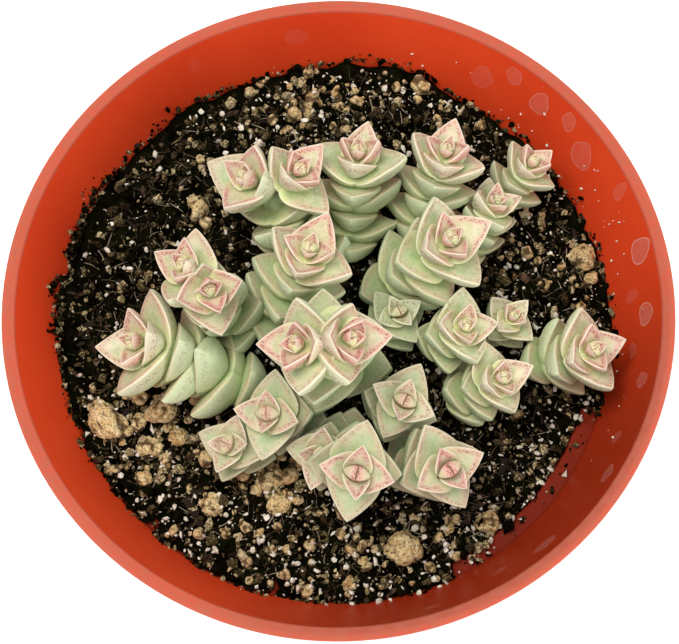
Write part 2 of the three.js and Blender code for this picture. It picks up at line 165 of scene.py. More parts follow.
def between(value, low, high):
    """0 below low, 1 above high, and a soft step between. It falls where low is the larger."""
    inputs = {"Value": value, "From Min": low, "From Max": high}
    return add_node(value.tree, "ShaderNodeMapRange", "Result", {"interpolation_type": "SMOOTHSTEP"}, inputs)


def mixed(share, *colours):
    """The first colour where share is 0, going over into the second where it is 1."""
    first, second = (c if isinstance(c, Flow) else (*c, 1) for c in colours)
    return add_node(share.tree, "ShaderNodeMix", 2, {"data_type": "RGBA"}, {0: share, 6: first, 7: second})


print("flows can be added, subtracted, multiplied and divided")

# %% [markdown]
# ## Daylight
#
# The plant stands in soft daylight. One small lamp would draw hard shadows between the leaves, and a white
# sky alone would leave them flat. So a bright sky does most of the work, and large square lamps give the
# leaves their light and shaded sides.

# %% Sky and lamps
SKY_BRIGHT_SIDE = (0.25, -0.45, 0.86)
SKY_RANGE = {"From Min": -0.4, "From Max": 1.0, "To Min": 0.3, "To Max": 1.05}
SKY_COLOUR = (0.94, 0.97, 1.0, 1)
LAMP_AIM = (0, 0, 0.08)
LAMP_SIZE = 0.4

world = bpy.data.worlds.new("sky")
world.use_nodes = True
tree = world.node_tree
direction = add_node(tree, "ShaderNodeTexCoord", "Generated")
inputs = {0: direction, 1: SKY_BRIGHT_SIDE}
facing = add_node(tree, "ShaderNodeVectorMath", "Value", {"operation": "DOT_PRODUCT"}, inputs)
fade = add_node(tree, "ShaderNodeMapRange", "Result", inputs={"Value": facing, **SKY_RANGE})
feed(tree.nodes["Background"], {"Color": SKY_COLOUR, "Strength": fade})
bpy.context.scene.world = world
bpy.context.scene.view_settings.view_transform = "Standard"


def hang_lamp(name, place, watts, colour):
    """A square lamp at a place, facing the plant."""
    data = bpy.data.lights.new(name, "AREA")
    data.size = LAMP_SIZE
    data.energy = watts
    data.color = colour
    lamp = bpy.data.objects.new(name, data)
    lamp.location = place
    lamp.rotation_euler = (Vector(LAMP_AIM) - Vector(place)).to_track_quat("-Z", "Y").to_euler()
    bpy.context.scene.collection.objects.link(lamp)


hang_lamp("window", (-0.22, 0.10, 0.71), 3.9, (1.0, 0.97, 0.92))
hang_lamp("room", (0.42, -0.40, 0.30), 2.0, (1.0, 0.96, 0.92))

# %% [markdown]
# ## Effects that several finishes share
#
# Leaf, plastic, soil and stone all have cloudy patches, small specks and a fine relief. Each effect is a
# node group, built once, and placed in a material with its own values:
#
# - "mottle" gives soft clouds between 0 and 1;
# - "specks" gives small round dots of one size, some left out;
# - "grain" gives a fine uneven height for the bump.
#
# Their sizes are in millimetres, since the texture coordinates are those of the object itself.


# %% Node groups
def start_group(name, numbers, output):
    """A node group with number inputs and one output: its tree, the flows of its numbers, and its place."""
    tree = bpy.data.node_groups.new(name, "ShaderNodeTree")
    for socket, value in numbers.items():
        made = tree.interface.new_socket(socket, in_out="INPUT", socket_type="NodeSocketFloat")
        made.default_value = value
    tree.interface.new_socket(output, in_out="OUTPUT", socket_type="NodeSocketFloat")
    source = tree.nodes.new("NodeGroupInput")
    place = add_node(tree, "ShaderNodeTexCoord", "Object")
    return tree, [Flow(source.outputs[socket]) for socket in numbers], place


def end_group(tree, output, flow):
    """Leads a flow out of the group."""
    feed(tree.nodes.new("NodeGroupOutput"), {output: flow})
    return tree


def noise(tree, place, scale, **details):
    """An even noise between 0 and 1."""
    return add_node(tree, "ShaderNodeTexNoise", "Fac", inputs={"Vector": place, "Scale": scale, **details})


def build_mottle():
    """Soft clouds: a noise with its middle stretched out to clear light and dark."""
    tree, (size, softness), place = start_group("mottle", {"Size": 3.0, "Softness": 0.2}, "Mask")
    clouds = noise(tree, place, 1 / MM / size, Detail=4.0, Roughness=0.6)
    return end_group(tree, "Mask", between(clouds, 0.5 - softness, softness + 0.5))


def build_specks():
    """Round dots: the middles of scattered cells, where each cell's own random number lets it show."""
    numbers = {"Spacing": 1.0, "Radius": 0.2, "Share": 0.5}
    tree, (spacing, radius, share), place = start_group("specks", numbers, "Mask")
    inputs = {"Vector": place, "Scale": 1 / MM / spacing}
    distance = add_node(tree, "ShaderNodeTexVoronoi", "Distance", inputs=inputs)
    reach = radius / spacing
    dots = between(distance, reach * 1.5, reach * 0.6)
    drawn = add_node(tree, "ShaderNodeSeparateColor", 0, inputs={0: distance.sibling("Color")})
    return end_group(tree, "Mask", dots * drawn.step("LESS_THAN", drawn, share))


def build_grain():
    """A fine height: a coarse and a fine noise added."""
    tree, (size,), place = start_group("grain", {"Size": 0.5}, "Height")
    scale = 1 / MM / size
    coarse = noise(tree, place, scale, Detail=6.0)
    fine = noise(tree, place, scale * 3.1, Detail=2.0)
    return end_group(tree, "Height", coarse + fine * 0.4)


MOTTLE = build_mottle()
SPECKS = build_specks()
GRAIN = build_grain()
print("node groups:", [group.name for group in bpy.data.node_groups])

# %% [markdown]
# A material starts as a surface shader alone. The helpers below place a group in it, read a number that
# was kept on the points of the mesh, cloud one colour with another, and turn a height into a bump of a
# real depth.


# %% Helpers for materials
def new_material(name):
    """An empty material, its tree of nodes and its surface shader."""
    material = bpy.data.materials.new(name)
    material.use_nodes = True
    tree = material.node_tree
    return material, tree, next(node for node in tree.nodes if node.type == "BSDF_PRINCIPLED")


def effect(tree, group, **numbers):
    """Places a node group in a material and gives its output."""
    return add_node(tree, "ShaderNodeGroup", 0, {"node_tree": group}, numbers)


def mark(tree, name):
    """A number that was kept on the points of the mesh."""
    return add_node(tree, "ShaderNodeAttribute", "Fac", {"attribute_name": name})


def stained(colour, tone, share, size, softness):
    """A colour with soft clouds of another tone over it."""
    return mixed(effect(colour.tree, MOTTLE, Size=size, Softness=softness) * share, colour, tone)


def bump(height, strength, millimetres):
    """A height as a bump of a real depth, for the shader's normal."""
    inputs = {"Height": height, "Strength": strength, "Distance": millimetres * MM}
    return add_node(height.tree, "ShaderNodeBump", "Normal", inputs=inputs)


print("one unit of the scene is", 1 / MM, "millimetres")

# %% [markdown]
# ## The floor
#
# The photograph's ground is plain white. A wide pale sheet stands in for it. Its colour drifts a little,
# so that it reads as a real surface.

# %% Floor
floor_material, tree, surface = new_material("pale_floor")
clouds = effect(tree, MOTTLE, Size=60.0, Softness=0.3)
feed(surface, {
    "Base Color": mixed(clouds, (0.86, 0.86, 0.85), (0.9, 0.9, 0.89)),
    "Roughness": 0.8,
    "Emission Color": (1, 1, 1, 1),
    "Emission Strength": 0.3,
    "Normal": bump(effect(tree, GRAIN, Size=2.0), 0.1, 0.1),
})

FLOOR_HALF = 10.0
floor_mesh = bpy.data.meshes.new("floor")
corners = [(x * FLOOR_HALF, y * FLOOR_HALF, 0) for x, y in ((-1, -1), (1, -1), (1, 1), (-1, 1))]
floor_mesh.from_pydata(corners, [], [(0, 1, 2, 3)])
floor_mesh.materials.append(floor_material)
floor = bpy.data.objects.new("floor", floor_mesh)
bpy.context.scene.collection.objects.link(floor)
print("floor", 2 * FLOOR_HALF, "m wide")

# %% [markdown]
# ## From points to pieces
#
# A mesh can be made by hand, with Blender's tools, or from lists of points. Leaves and crumbs come by the
# hundred, so lists are quickest: `add_piece` turns points in millimetres and faces into an object, keeps
# named numbers on the points ("marks", such as how far along its leaf a point lies) for the materials to
# read, and ties the piece to the frame. Pot, soil, leaves and straws are all tubes made of rings, so one
# function joins rings into faces for all of them.


# %% Pieces and rings
def add_piece(name, points, faces, material, nodes=(), marks=None, smooth=True):
    """Makes an object of points in millimetres, and of faces: one array for each number of corners."""
    mesh = bpy.data.meshes.new(name)
    corners = np.concatenate([part.ravel() for part in faces])
    counts = np.concatenate([np.full(len(part), part.shape[1]) for part in faces])
    starts = np.concatenate([[0], np.cumsum(counts)[:-1]])
    mesh.vertices.add(len(points))
    mesh.vertices.foreach_set("co", (np.asarray(points) * MM).astype(np.float32).ravel())
    mesh.loops.add(len(corners))
    mesh.loops.foreach_set("vertex_index", corners.astype(np.int32))
    mesh.polygons.add(len(counts))
    mesh.polygons.foreach_set("loop_start", starts.astype(np.int32))
    mesh.polygons.foreach_set("use_smooth", np.full(len(counts), smooth))
    mesh.update(calc_edges=True)
    mesh.validate()
    for mark_name, values in (marks or {}).items():
        attribute = mesh.attributes.new(mark_name, "FLOAT", "POINT")
        attribute.data.foreach_set("value", np.asarray(values, np.float32))
    mesh.materials.append(material)
    piece = bpy.data.objects.new(name, mesh)
    bpy.context.scene.collection.objects.link(piece)
    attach(piece, "root")
    if nodes:
        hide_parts(*nodes)
    return piece


def around_axis(radius, angle, z):
    """Points at a radius, an angle and a height about the upright axis."""
    return np.stack(np.broadcast_arrays(radius * np.cos(angle), radius * np.sin(angle), z), axis=-1)


def ring_faces(rings, sides, offset=0):
    """Quads between rings of points, and fans that close both ends to two more points after the rings."""
    ring, side = np.meshgrid(np.arange(rings - 1), np.arange(sides), indexing="ij")
    here = (ring * sides + side).ravel()
    beside = (ring * sides + (side + 1) % sides).ravel()
    quads = np.stack([here, beside, beside + sides, here + sides], axis=1)
    step = np.arange(sides)
    following = (step + 1) % sides
    first, top = rings * sides, (rings - 1) * sides
    near = np.stack([np.full(sides, first), following, step], axis=1)
    far = np.stack([np.full(sides, first + 1), top + step, top + following], axis=1)
    return [quads + offset, np.vstack([near, far]) + offset]


def flipped(faces):
    """The same faces seen from the other side."""
    return [np.hstack([part[:, :1], part[:, :0:-1]]) for part in faces]


print("a tube of 3 rings with 8 points each has", sum(len(part) for part in ring_faces(3, 8)), "faces")

# %% [markdown]
# ## The pot
#
# The pot is moulded in one thin shell of red plastic, with a flared collar, a ledge inside it and round
# drainage holes. A turned form is best drawn as one outline and spun round the axis. The frame's pot has
# flat facets, so this one has the same outline with softened corners, and many more sides. The holes are
# cut last, with one boolean, so that they stay sharp and round.

# %% The pot's outline
POT_HEIGHT = 85.0
RIM_RADIUS = 50.0
RIM_INNER = 48.1
COLLAR_FOOT = 65.5
COLLAR_FOOT_RADIUS = 45.0
NECK_RADIUS = 42.2
LEDGE_HEIGHT = 67.5
LEDGE_OUTER = 42.9
NECK_INNER = 40.5
BASE_RADIUS = 33.0
BASE_INNER = 31.3
BASE_THICKNESS = 2.0
NEAR_AXIS = 2.0
POT_SIDES = 176


def soften(rows, steps=4):
    """An outline with each corner replaced by a small curve that starts and ends a radius away from it."""
    corners = np.array([corner for corner, radius in rows])
    softened = []
    for i, (_, radius) in enumerate(rows):
        corner = corners[i]
        if radius == 0:
            softened.append(corner)
            continue
        before = corners[i - 1] - corner
        after = corners[i + 1] - corner
        first = corner + before * radius / np.linalg.norm(before)
        last = corner + after * radius / np.linalg.norm(after)
        for t in np.linspace(0, 1, steps + 1):
            softened.append((1 - t) ** 2 * first + 2 * t * (1 - t) * corner + t**2 * last)
    return np.array(softened)


def spin(outline, sides):
    """Points and faces of an outline turned about the upright axis, closed with a fan at each end."""
    angles = np.arange(sides) * 2 * math.pi / sides
    points = around_axis(outline[:, :1], angles, outline[:, 1:]).reshape(-1, 3)
    ends = np.array([[0, 0, outline[0, 1]], [0, 0, outline[-1, 1]]])
    return np.vstack([points, ends]), ring_faces(len(outline), sides)


pot_outline = soften([
    ((NEAR_AXIS, 0), 0),
    ((BASE_RADIUS, 0), 1.2),
    ((NECK_RADIUS, COLLAR_FOOT), 0.4),
    ((COLLAR_FOOT_RADIUS, COLLAR_FOOT), 0.5),
    ((RIM_RADIUS, POT_HEIGHT), 0.3),
    ((RIM_INNER, POT_HEIGHT), 0.3),
    ((LEDGE_OUTER, LEDGE_HEIGHT), 0.5),
    ((NECK_INNER, LEDGE_HEIGHT), 0.4),
    ((BASE_INNER, BASE_THICKNESS), 1.0),
    ((NEAR_AXIS, BASE_THICKNESS), 0),
])
pot_points, pot_faces = spin(pot_outline, POT_SIDES)
print("pot before its holes:", len(pot_points), "points")

# %% [markdown]
# The plastic is the loudest colour of the photograph: an orange red, lit through from outside, so it gets
# a little light scattering inside the wall. Its rim is paler: painted reflection of the sky, with rubbed
# wear in it. Two masks tell the inside of the wall from the outside. Inside, painted shade darkens the
# lower right, which is also smoother, and the wall is darker on the ledge; outside it has faint dust and
# small splashes low down.

# %% Pot finish
pot_material, tree, surface = new_material("pot_plastic")
place = add_node(tree, "ShaderNodeTexCoord", "Object")
x = add_node(tree, "ShaderNodeSeparateXYZ", "X", inputs={0: place})
y, z = x.sibling("Y"), x.sibling("Z")
flare = (RIM_INNER - LEDGE_OUTER) / (POT_HEIGHT - LEDGE_HEIGHT)
above_ledge = z - LEDGE_HEIGHT * MM
distance = x * x + y * y
distance = distance.step("SQRT", distance)
past_wall = distance - (above_ledge * flare + LEDGE_OUTER * MM)
inside = between(past_wall, 1.3 * MM, 0.6 * MM) * between(above_ledge, -1.3 * MM, -0.5 * MM)
outside = 1.0 - inside

clouds = effect(tree, MOTTLE, Size=22.0, Softness=0.35)
plastic = mixed(clouds, (0.58, 0.043, 0.01), (0.66, 0.06, 0.014))
# Painted shade: the inner wall is darkened towards the lower right, where it is also made smoother.
wall_shade_and_soil_clouds = between(x * 0.75 - y, 24 * MM, 56 * MM) * inside * (clouds * 0.15 + 0.85)
shaded_plastic = mixed(wall_shade_and_soil_clouds, plastic, (0.23, 0.018, 0.0045))
# The wall is darker on the ledge and just above it.
on_ledge = between(z, 69.0 * MM, 67.6 * MM) * inside
darker_on_ledge = mixed(on_ledge * (clouds * 0.25 + 0.72), shaded_plastic, (0.15, 0.014, 0.005))
chalk = effect(tree, SPECKS, Spacing=1.5, Radius=0.06, Share=0.25)
chalky = mixed(chalk * 0.5, darker_on_ledge, (0.85, 0.5, 0.4))
# The rim is paler at the top: painted reflection of the sky, with rubbed wear in the scuffs.
at_rim = between(z, 84.4 * MM, 84.8 * MM)
scuffs = effect(tree, MOTTLE, Size=1.6, Softness=0.25)
rim_reflection_and_wear = mixed(at_rim * (scuffs * 0.3 + 0.6), chalky, (0.37, 0.104, 0.066))
patches = effect(tree, MOTTLE, Size=7.0, Softness=0.3)
dust = (between(z, 55 * MM, 0.0) * 0.35 + 0.12) * patches * outside
dusted = mixed(dust, rim_reflection_and_wear, (0.4, 0.19, 0.12))
drops = effect(tree, SPECKS, Spacing=3.2, Radius=0.09, Share=0.35)
splashes = drops * between(z, 50 * MM, 10 * MM) * outside
bands = {"bands_direction": "Z"}
moulding = add_node(tree, "ShaderNodeTexWave", "Fac", bands, {"Vector": place, "Scale": 260.0})
relief = effect(tree, GRAIN, Size=0.9) + moulding * 0.15
feed(surface, {
    "Base Color": mixed(splashes * 0.6, dusted, (0.16, 0.09, 0.055)),
    "Roughness": scuffs * 0.1 + 0.42 + at_rim.or_more(on_ledge) * 0.4 - wall_shade_and_soil_clouds * 0.15,
    "Specular IOR Level": 0.1,
    "Subsurface Weight": 0.25,
    "Subsurface Radius": (1.0, 0.16, 0.06),
    "Subsurface Scale": 2.5 * MM,
    "Normal": bump(relief, 0.12, 0.08),
})
print("pot material nodes:", len(tree.nodes))

# %% [markdown]
# The drainage holes and the shallow channels that lead out of them are one cutter: six short round bars
# and six flat ones, taken away together by a boolean modifier. The modifier is then made permanent, so
# that the finished pot is a plain mesh.

# %% Cut the drainage
DRAIN_HOLES = 6
DRAIN_RADIUS = 3.2
DRAIN_SIDES = 40
DRAIN_CIRCLE = 22.0
CHANNEL_END = 36.0
CHANNEL_WIDTH = 5.0
CHANNEL_DEPTH = 0.7

pot = add_piece("pot_shell", pot_points, pot_faces, pot_material, ["pot"])
cutter_mesh = bmesh.new()
length = CHANNEL_END - DRAIN_CIRCLE
for i in range(DRAIN_HOLES):
    spoke = Matrix.Rotation((i + 0.5) / DRAIN_HOLES * 2 * math.pi, 4, "Z")
    hole = spoke @ Matrix.Translation((DRAIN_CIRCLE * MM, 0, 0))
    bmesh.ops.create_cone(
        cutter_mesh, cap_ends=True, segments=DRAIN_SIDES, radius1=DRAIN_RADIUS * MM,
        radius2=DRAIN_RADIUS * MM, depth=BASE_THICKNESS * 3 * MM, matrix=hole,
    )
    middle = spoke @ Matrix.Translation(((DRAIN_CIRCLE + length / 2) * MM, 0, 0))
    stretch = Matrix.Diagonal((length * MM, CHANNEL_WIDTH * MM, CHANNEL_DEPTH * 2 * MM, 1))
    bmesh.ops.create_cube(cutter_mesh, size=1, matrix=middle @ stretch)
cutter_data = bpy.data.meshes.new("cutter")
cutter_mesh.to_mesh(cutter_data)
cutter_mesh.free()
cutter = bpy.data.objects.new("cutter", cutter_data)
bpy.context.scene.collection.objects.link(cutter)
cut = pot.modifiers.new("drainage", "BOOLEAN")
cut.operation = "DIFFERENCE"
cut.solver = "EXACT"
cut.use_self = True
cut.object = cutter
bpy.context.view_layer.update()
finished = bpy.data.meshes.new_from_object(pot.evaluated_get(bpy.context.evaluated_depsgraph_get()))
pot.modifiers.clear()
pot.data = finished
bpy.data.objects.remove(cutter)
print("pot:", len(pot.data.polygons), "faces")

# %% [markdown]
# ## The ground in the pot
#
# Potting mix is a heap of crumbs, bark and fibres. One bumpy sheet would look like rubber, and loose
# crumbs alone would show gaps. So there is a closed plug first, with the frame's own surface (a level, a
# wave, a slope, two hollows and a heap) roughened by ripples of a few millimetres, and then thousands of
# crumbs on top of it.

# %% The surface of the soil
SOIL_LEVEL = 70.6
SOIL_SLOPE = (-0.02, 0.045)
SOIL_WAVE = (0.55, 4.8, 5.9)
SOIL_BUMPS = [((33, -26), -1.7, 16.1), ((-33, -28), -1.6, 17.3), ((8, 40), 1.8, 12.6)]
CLEARANCE = 0.3
RIPPLES = 26
RIPPLE_RANGES = [(1.2, 7.0), (0, 2 * math.pi), (0, 2 * math.pi)]
RIPPLE_STEEPNESS = 0.028
RIPPLE_SHARE = 0.7


def soil_height(x, y):
    """The frame's soil surface at a place, in millimetres."""
    height, along_x, along_y = SOIL_WAVE
    z = SOIL_LEVEL + height * np.sin(x / along_x) * np.cos(y / along_y)
    z = z + SOIL_SLOPE[0] * x + SOIL_SLOPE[1] * y
    for (bump_x, bump_y), rise, spread in SOIL_BUMPS:
        z = z + rise * np.exp(-((x - bump_x) ** 2 + (y - bump_y) ** 2) / spread**2)
    return z


ripple_random = np.random.default_rng(7)
ripples = [ripple_random.uniform(low, high, RIPPLES) for low, high in RIPPLE_RANGES]


def soil_top(x, y):
    """The soil surface with its ripples."""
    rough = np.zeros_like(np.asarray(x, float))
    for length, angle, shift in zip(*ripples):
        wave = (x * math.cos(angle) + y * math.sin(angle)) * 2 * math.pi / length + shift
        rough = rough + RIPPLE_STEEPNESS * length * np.sin(wave)
    return soil_height(x, y) + RIPPLE_SHARE * rough


def collar_radius(z):
    """The inside radius of the pot's collar at a height."""
    return LEDGE_OUTER + (z - LEDGE_HEIGHT) / (POT_HEIGHT - LEDGE_HEIGHT) * (RIM_INNER - LEDGE_OUTER)


def room_at(z):
    """How far out the soil may reach at a height."""
    return np.where(z > LEDGE_HEIGHT + CLEARANCE, collar_radius(z) - CLEARANCE, NECK_INNER - CLEARANCE)


print("soil height in the middle:", round(float(soil_height(0.0, 0.0)), 2), "mm")

# %% Soil finish
SOIL_TONES = [
    (0.46, 0.62, (0.052, 0.036, 0.018)),
    (0.74, 0.82, (0.16, 0.125, 0.052)),
    (0.90, 0.96, (0.5, 0.4, 0.24)),
]
soil_material, tree, surface = new_material("potting_mix")
tint = mark(tree, "tint") + (effect(tree, MOTTLE, Size=0.4, Softness=0.2) - 0.5) * 0.34
wall_shade_and_soil_clouds = effect(tree, MOTTLE, Size=2.2, Softness=0.22)
# The near-black of the mix is partly its own dark colour and partly painted shade between the crumbs.
colour = mixed(wall_shade_and_soil_clouds, (0.0004, 0.0003, 0.0002), (0.006, 0.0045, 0.0025))
colour = stained(colour, (0.009, 0.011, 0.003), 0.35, 4.5, 0.1)
for low, high, tone in SOIL_TONES:
    colour = mixed(between(tint, low, high), colour, tone)
flecks = effect(tree, SPECKS, Spacing=0.9, Radius=0.07, Share=0.14)
feed(surface, {
    "Base Color": mixed(flecks * 0.7, colour, (0.42, 0.38, 0.28)),
    "Roughness": 0.7,
    "Specular IOR Level": 0.0,
    "Normal": bump(effect(tree, GRAIN, Size=0.45), 1.0, 0.35),
})
print("soil material nodes:", len(tree.nodes))

# %% The plug of soil
SOIL_RINGS = 84
SOIL_SIDES = 250
EDGE_PASSES = 8
PLUG_BASE_RADIUS = 31.0
PLUG_BASE = BASE_THICKNESS + CLEARANCE
SHELF_HEIGHT = LEDGE_HEIGHT + CLEARANCE

turns = np.arange(SOIL_SIDES) * 2 * math.pi / SOIL_SIDES
edge = np.full(SOIL_SIDES, NECK_INNER)
for _ in range(EDGE_PASSES):
    edge = room_at(soil_top(edge * np.cos(turns), edge * np.sin(turns)))
shares = np.arange(1, SOIL_RINGS + 1)[:, None] / SOIL_RINGS
top_rings = around_axis(shares * edge, turns, 0.0)
top_rings[..., 2] = soil_top(top_rings[..., 0], top_rings[..., 1])
shelf_radius = np.minimum(edge, float(collar_radius(SHELF_HEIGHT)) - CLEARANCE)
lower_rings = [
    around_axis(shelf_radius, turns, np.minimum(SHELF_HEIGHT, top_rings[-1, :, 2])),
    around_axis(NECK_INNER - CLEARANCE, turns, LEDGE_HEIGHT - CLEARANCE),
    around_axis(PLUG_BASE_RADIUS, turns, PLUG_BASE),
    around_axis(NEAR_AXIS, turns, PLUG_BASE),
]
rings = np.concatenate([top_rings, np.array(lower_rings)])
ends = np.array([[0, 0, float(soil_top(0.0, 0.0))], [0, 0, PLUG_BASE]])
soil_points = np.vstack([rings.reshape(-1, 3), ends])
soil_faces = flipped(ring_faces(len(rings), SOIL_SIDES))
soil_marks = {"tint": np.zeros(len(soil_points))}
add_piece("soil_plug", soil_points, soil_faces, soil_material, ["soil"], soil_marks)
print("soil reaches", round(float(edge.min()), 1), "to", round(float(edge.max()), 1), "mm from the middle")

# %% [markdown]
# ## Lumps by the thousand
#
# Crumbs, bark, perlite and pumice are all lumps: a ball that was stretched, turned and dented. Copying an
# object thousands of times is slow, and instances don't travel well, so the copies are worked out as one
# big array: every lump is the same small ball, times its own stretch and turn, plus its own dents. Stone
# also has random knobs with creases between them.


# %% A ball, its turns and its creases
def ball(subdivisions):
    """The points and triangles of a round ball of radius 1."""
    made = bmesh.new()
    bmesh.ops.create_icosphere(made, subdivisions=subdivisions, radius=1)
    points = np.array([v.co[:] for v in made.verts])
    faces = np.array([[v.index for v in f.verts] for f in made.faces])
    made.free()
    return points, faces


def random_turns(random, count):
    """A turn in any direction for each lump, as a stack of matrices."""
    q = random.normal(size=(count, 4))
    q /= np.linalg.norm(q, axis=1)[:, None]
    w, x, y, z = q.T
    return np.array([
        [1 - 2 * (y * y + z * z), 2 * (x * y - w * z), 2 * (x * z + w * y)],
        [2 * (x * y + w * z), 1 - 2 * (x * x + z * z), 2 * (y * z - w * x)],
        [2 * (x * z - w * y), 2 * (y * z + w * x), 1 - 2 * (x * x + y * y)],
    ]).transpose(2, 0, 1)


def creases(random, points, number):
    """For points of a ball with random knobs: 0 on top of a knob, 1 in the deepest crease between them."""
    knobs = random.normal(size=(number, 3))
    knobs /= np.linalg.norm(knobs, axis=1)[:, None]
    apart = np.sqrt(np.maximum(2 - 2 * (points @ knobs.T).max(axis=1), 0))
    return apart / apart.max()


print("a ball of one subdivision has", len(ball(1)[1]), "faces")

# %% Many lumps as one mesh
LUMP_WAVES = 6
LUMP_WAVE_SIZE = 2.4


def lumps(random, centres, halves, subdivisions, dents, knobs=0):
    """Points and faces of many uneven lumps, a random tint of each, and how deep each point is dented."""
    points, faces = ball(subdivisions)
    count = len(centres)
    waves = random.normal(size=(count, LUMP_WAVES, 3)) * LUMP_WAVE_SIZE
    shifts = random.uniform(0, 2 * math.pi, (count, LUMP_WAVES))
    bumps = np.sin(np.einsum("cwk,pk->cpw", waves, points) + shifts[:, None, :]).sum(2) / 2
    swell = 1 + dents * bumps
    if knobs:
        creased = np.array([creases(random, points, knobs) for _ in range(count)])
        swell = swell * (1.1 - 0.36 * creased**2)
        bumps = 0.7 - 2.3 * creased**2
    turns = random_turns(random, count)
    shaped = points[None] * swell[:, :, None] * halves[:, None, :]
    placed = np.einsum("cij,cpj->cpi", turns, shaped) + centres[:, None, :]
    all_faces = faces[None] + (np.arange(count) * len(points))[:, None, None]
    tints = np.repeat(random.uniform(0, 1, count), len(points))
    return placed.reshape(-1, 3), all_faces.reshape(-1, 3), {"tint": tints, "dent": bumps.ravel()}


def add_lumps(name, random, centres, halves, subdivisions, dents, material, knobs=0):
    """Makes a piece of many lumps. Only lumps with knobs get a smooth skin."""
    points, faces, marks = lumps(random, centres, halves, subdivisions, dents, knobs)
    add_piece(name, points, [faces], material, marks=marks, smooth=knobs > 0)
    print(name, len(centres), "lumps,", len(faces), "triangles")


print("a lump is dented by", LUMP_WAVES, "waves")

# %% [markdown]
# Three rules place and size the lumps. Most are small and few are large. Each is stretched by its own share
# in three directions. And each lies on the soil at a random place, pulled inwards where it would reach into
# the pot's wall.

# %% Sizes, stretches and places
STREWN_REACH = 42.8
ROOM_FOR_LUMP = 0.6
TINY = 1e-6


def few_large(random, count, least, span, power):
    """Random sizes, most of them near the least one."""
    return least + span * random.uniform(0, 1, count) ** power


def stretched(random, sizes, low, high, form=1.0):
    """Half the length of each lump in three directions: its size, times a form, times random shares."""
    return sizes[:, None] * form * random.uniform(low, high, (len(sizes), 3))


def strewn(random, count, sizes, reach=STREWN_REACH, sink=0.2):
    """Random places on the soil, with each centre a little above the surface and clear of the wall."""
    radius = reach * np.sqrt(random.uniform(0, 1, count))
    angle = random.uniform(0, 2 * math.pi, count)
    x, y = radius * np.cos(angle), radius * np.sin(angle)
    z = soil_top(x, y) + sink * sizes
    limit = np.minimum(room_at(z), collar_radius(z)) - ROOM_FOR_LUMP * sizes
    pull = np.minimum(1, limit / np.maximum(radius, TINY))
    x, y = x * pull, y * pull
    return np.stack([x, y, soil_top(x, y) + sink * sizes], axis=1)


print("lumps lie up to", STREWN_REACH, "mm from the middle")

# %% Crumbs of soil
CRUMBS = 9400
crumb_random = np.random.default_rng(11)
crumb_sizes = few_large(crumb_random, CRUMBS, 0.20, 0.75, 2.8)
crumb_halves = stretched(crumb_random, crumb_sizes, 0.35, 1.35)
crumb_places = strewn(crumb_random, CRUMBS, crumb_sizes, sink=0.5)
add_lumps("soil_crumbs", crumb_random, crumb_places, crumb_halves, 1, 0.3, soil_material)

# %% [markdown]
# Pieces of bark are flat, red-brown and split along their length, so they are lumps pressed flat, with a
# streaky finish. Thin fibres and straws are bent tubes with four sides. They are pale, and they are what
# makes a potting mix look like one.

# %% Bark
BARK = 520
BARK_FORM = np.array([1.0, 0.45, 0.2])

bark_material, tree, surface = new_material("bark_chips")
streaks = noise(tree, add_node(tree, "ShaderNodeTexCoord", "Object"), 1600.0, Detail=5.0)
shade = mixed(between(mark(tree, "tint"), 0.3, 1.0), (0.014, 0.009, 0.006), (0.13, 0.075, 0.042))
feed(surface, {
    "Base Color": mixed(between(streaks, 0.35, 0.65), shade, (0.018, 0.011, 0.007)),
    "Roughness": 0.8,
    "Specular IOR Level": 0.1,
    "Normal": bump(streaks, 0.7, 0.25),
})

bark_random = np.random.default_rng(23)
bark_sizes = few_large(bark_random, BARK, 0.45, 1.5, 2.4)
bark_halves = stretched(bark_random, bark_sizes, 0.6, 1.2, BARK_FORM)
bark_places = strewn(bark_random, BARK, bark_sizes, sink=0.25)
add_lumps("bark", bark_random, bark_places, bark_halves, 2, 0.2, bark_material)

# %% Fibres
FIBRES = 2500
FIBRE_LENGTH = 3.6
FIBRE_THICKNESS = 0.08

fibre_material, tree, surface = new_material("fibres")
straw = mixed(between(mark(tree, "tint"), 0.58, 1.0), (0.035, 0.028, 0.012), (0.38, 0.31, 0.22))
feed(surface, {
    "Base Color": stained(straw, (0.12, 0.08, 0.045), 0.5, 0.8, 0.2),
    "Roughness": 0.7,
    "Specular IOR Level": 0.15,
    "Normal": bump(effect(tree, GRAIN, Size=0.3), 0.4, 0.1),
})


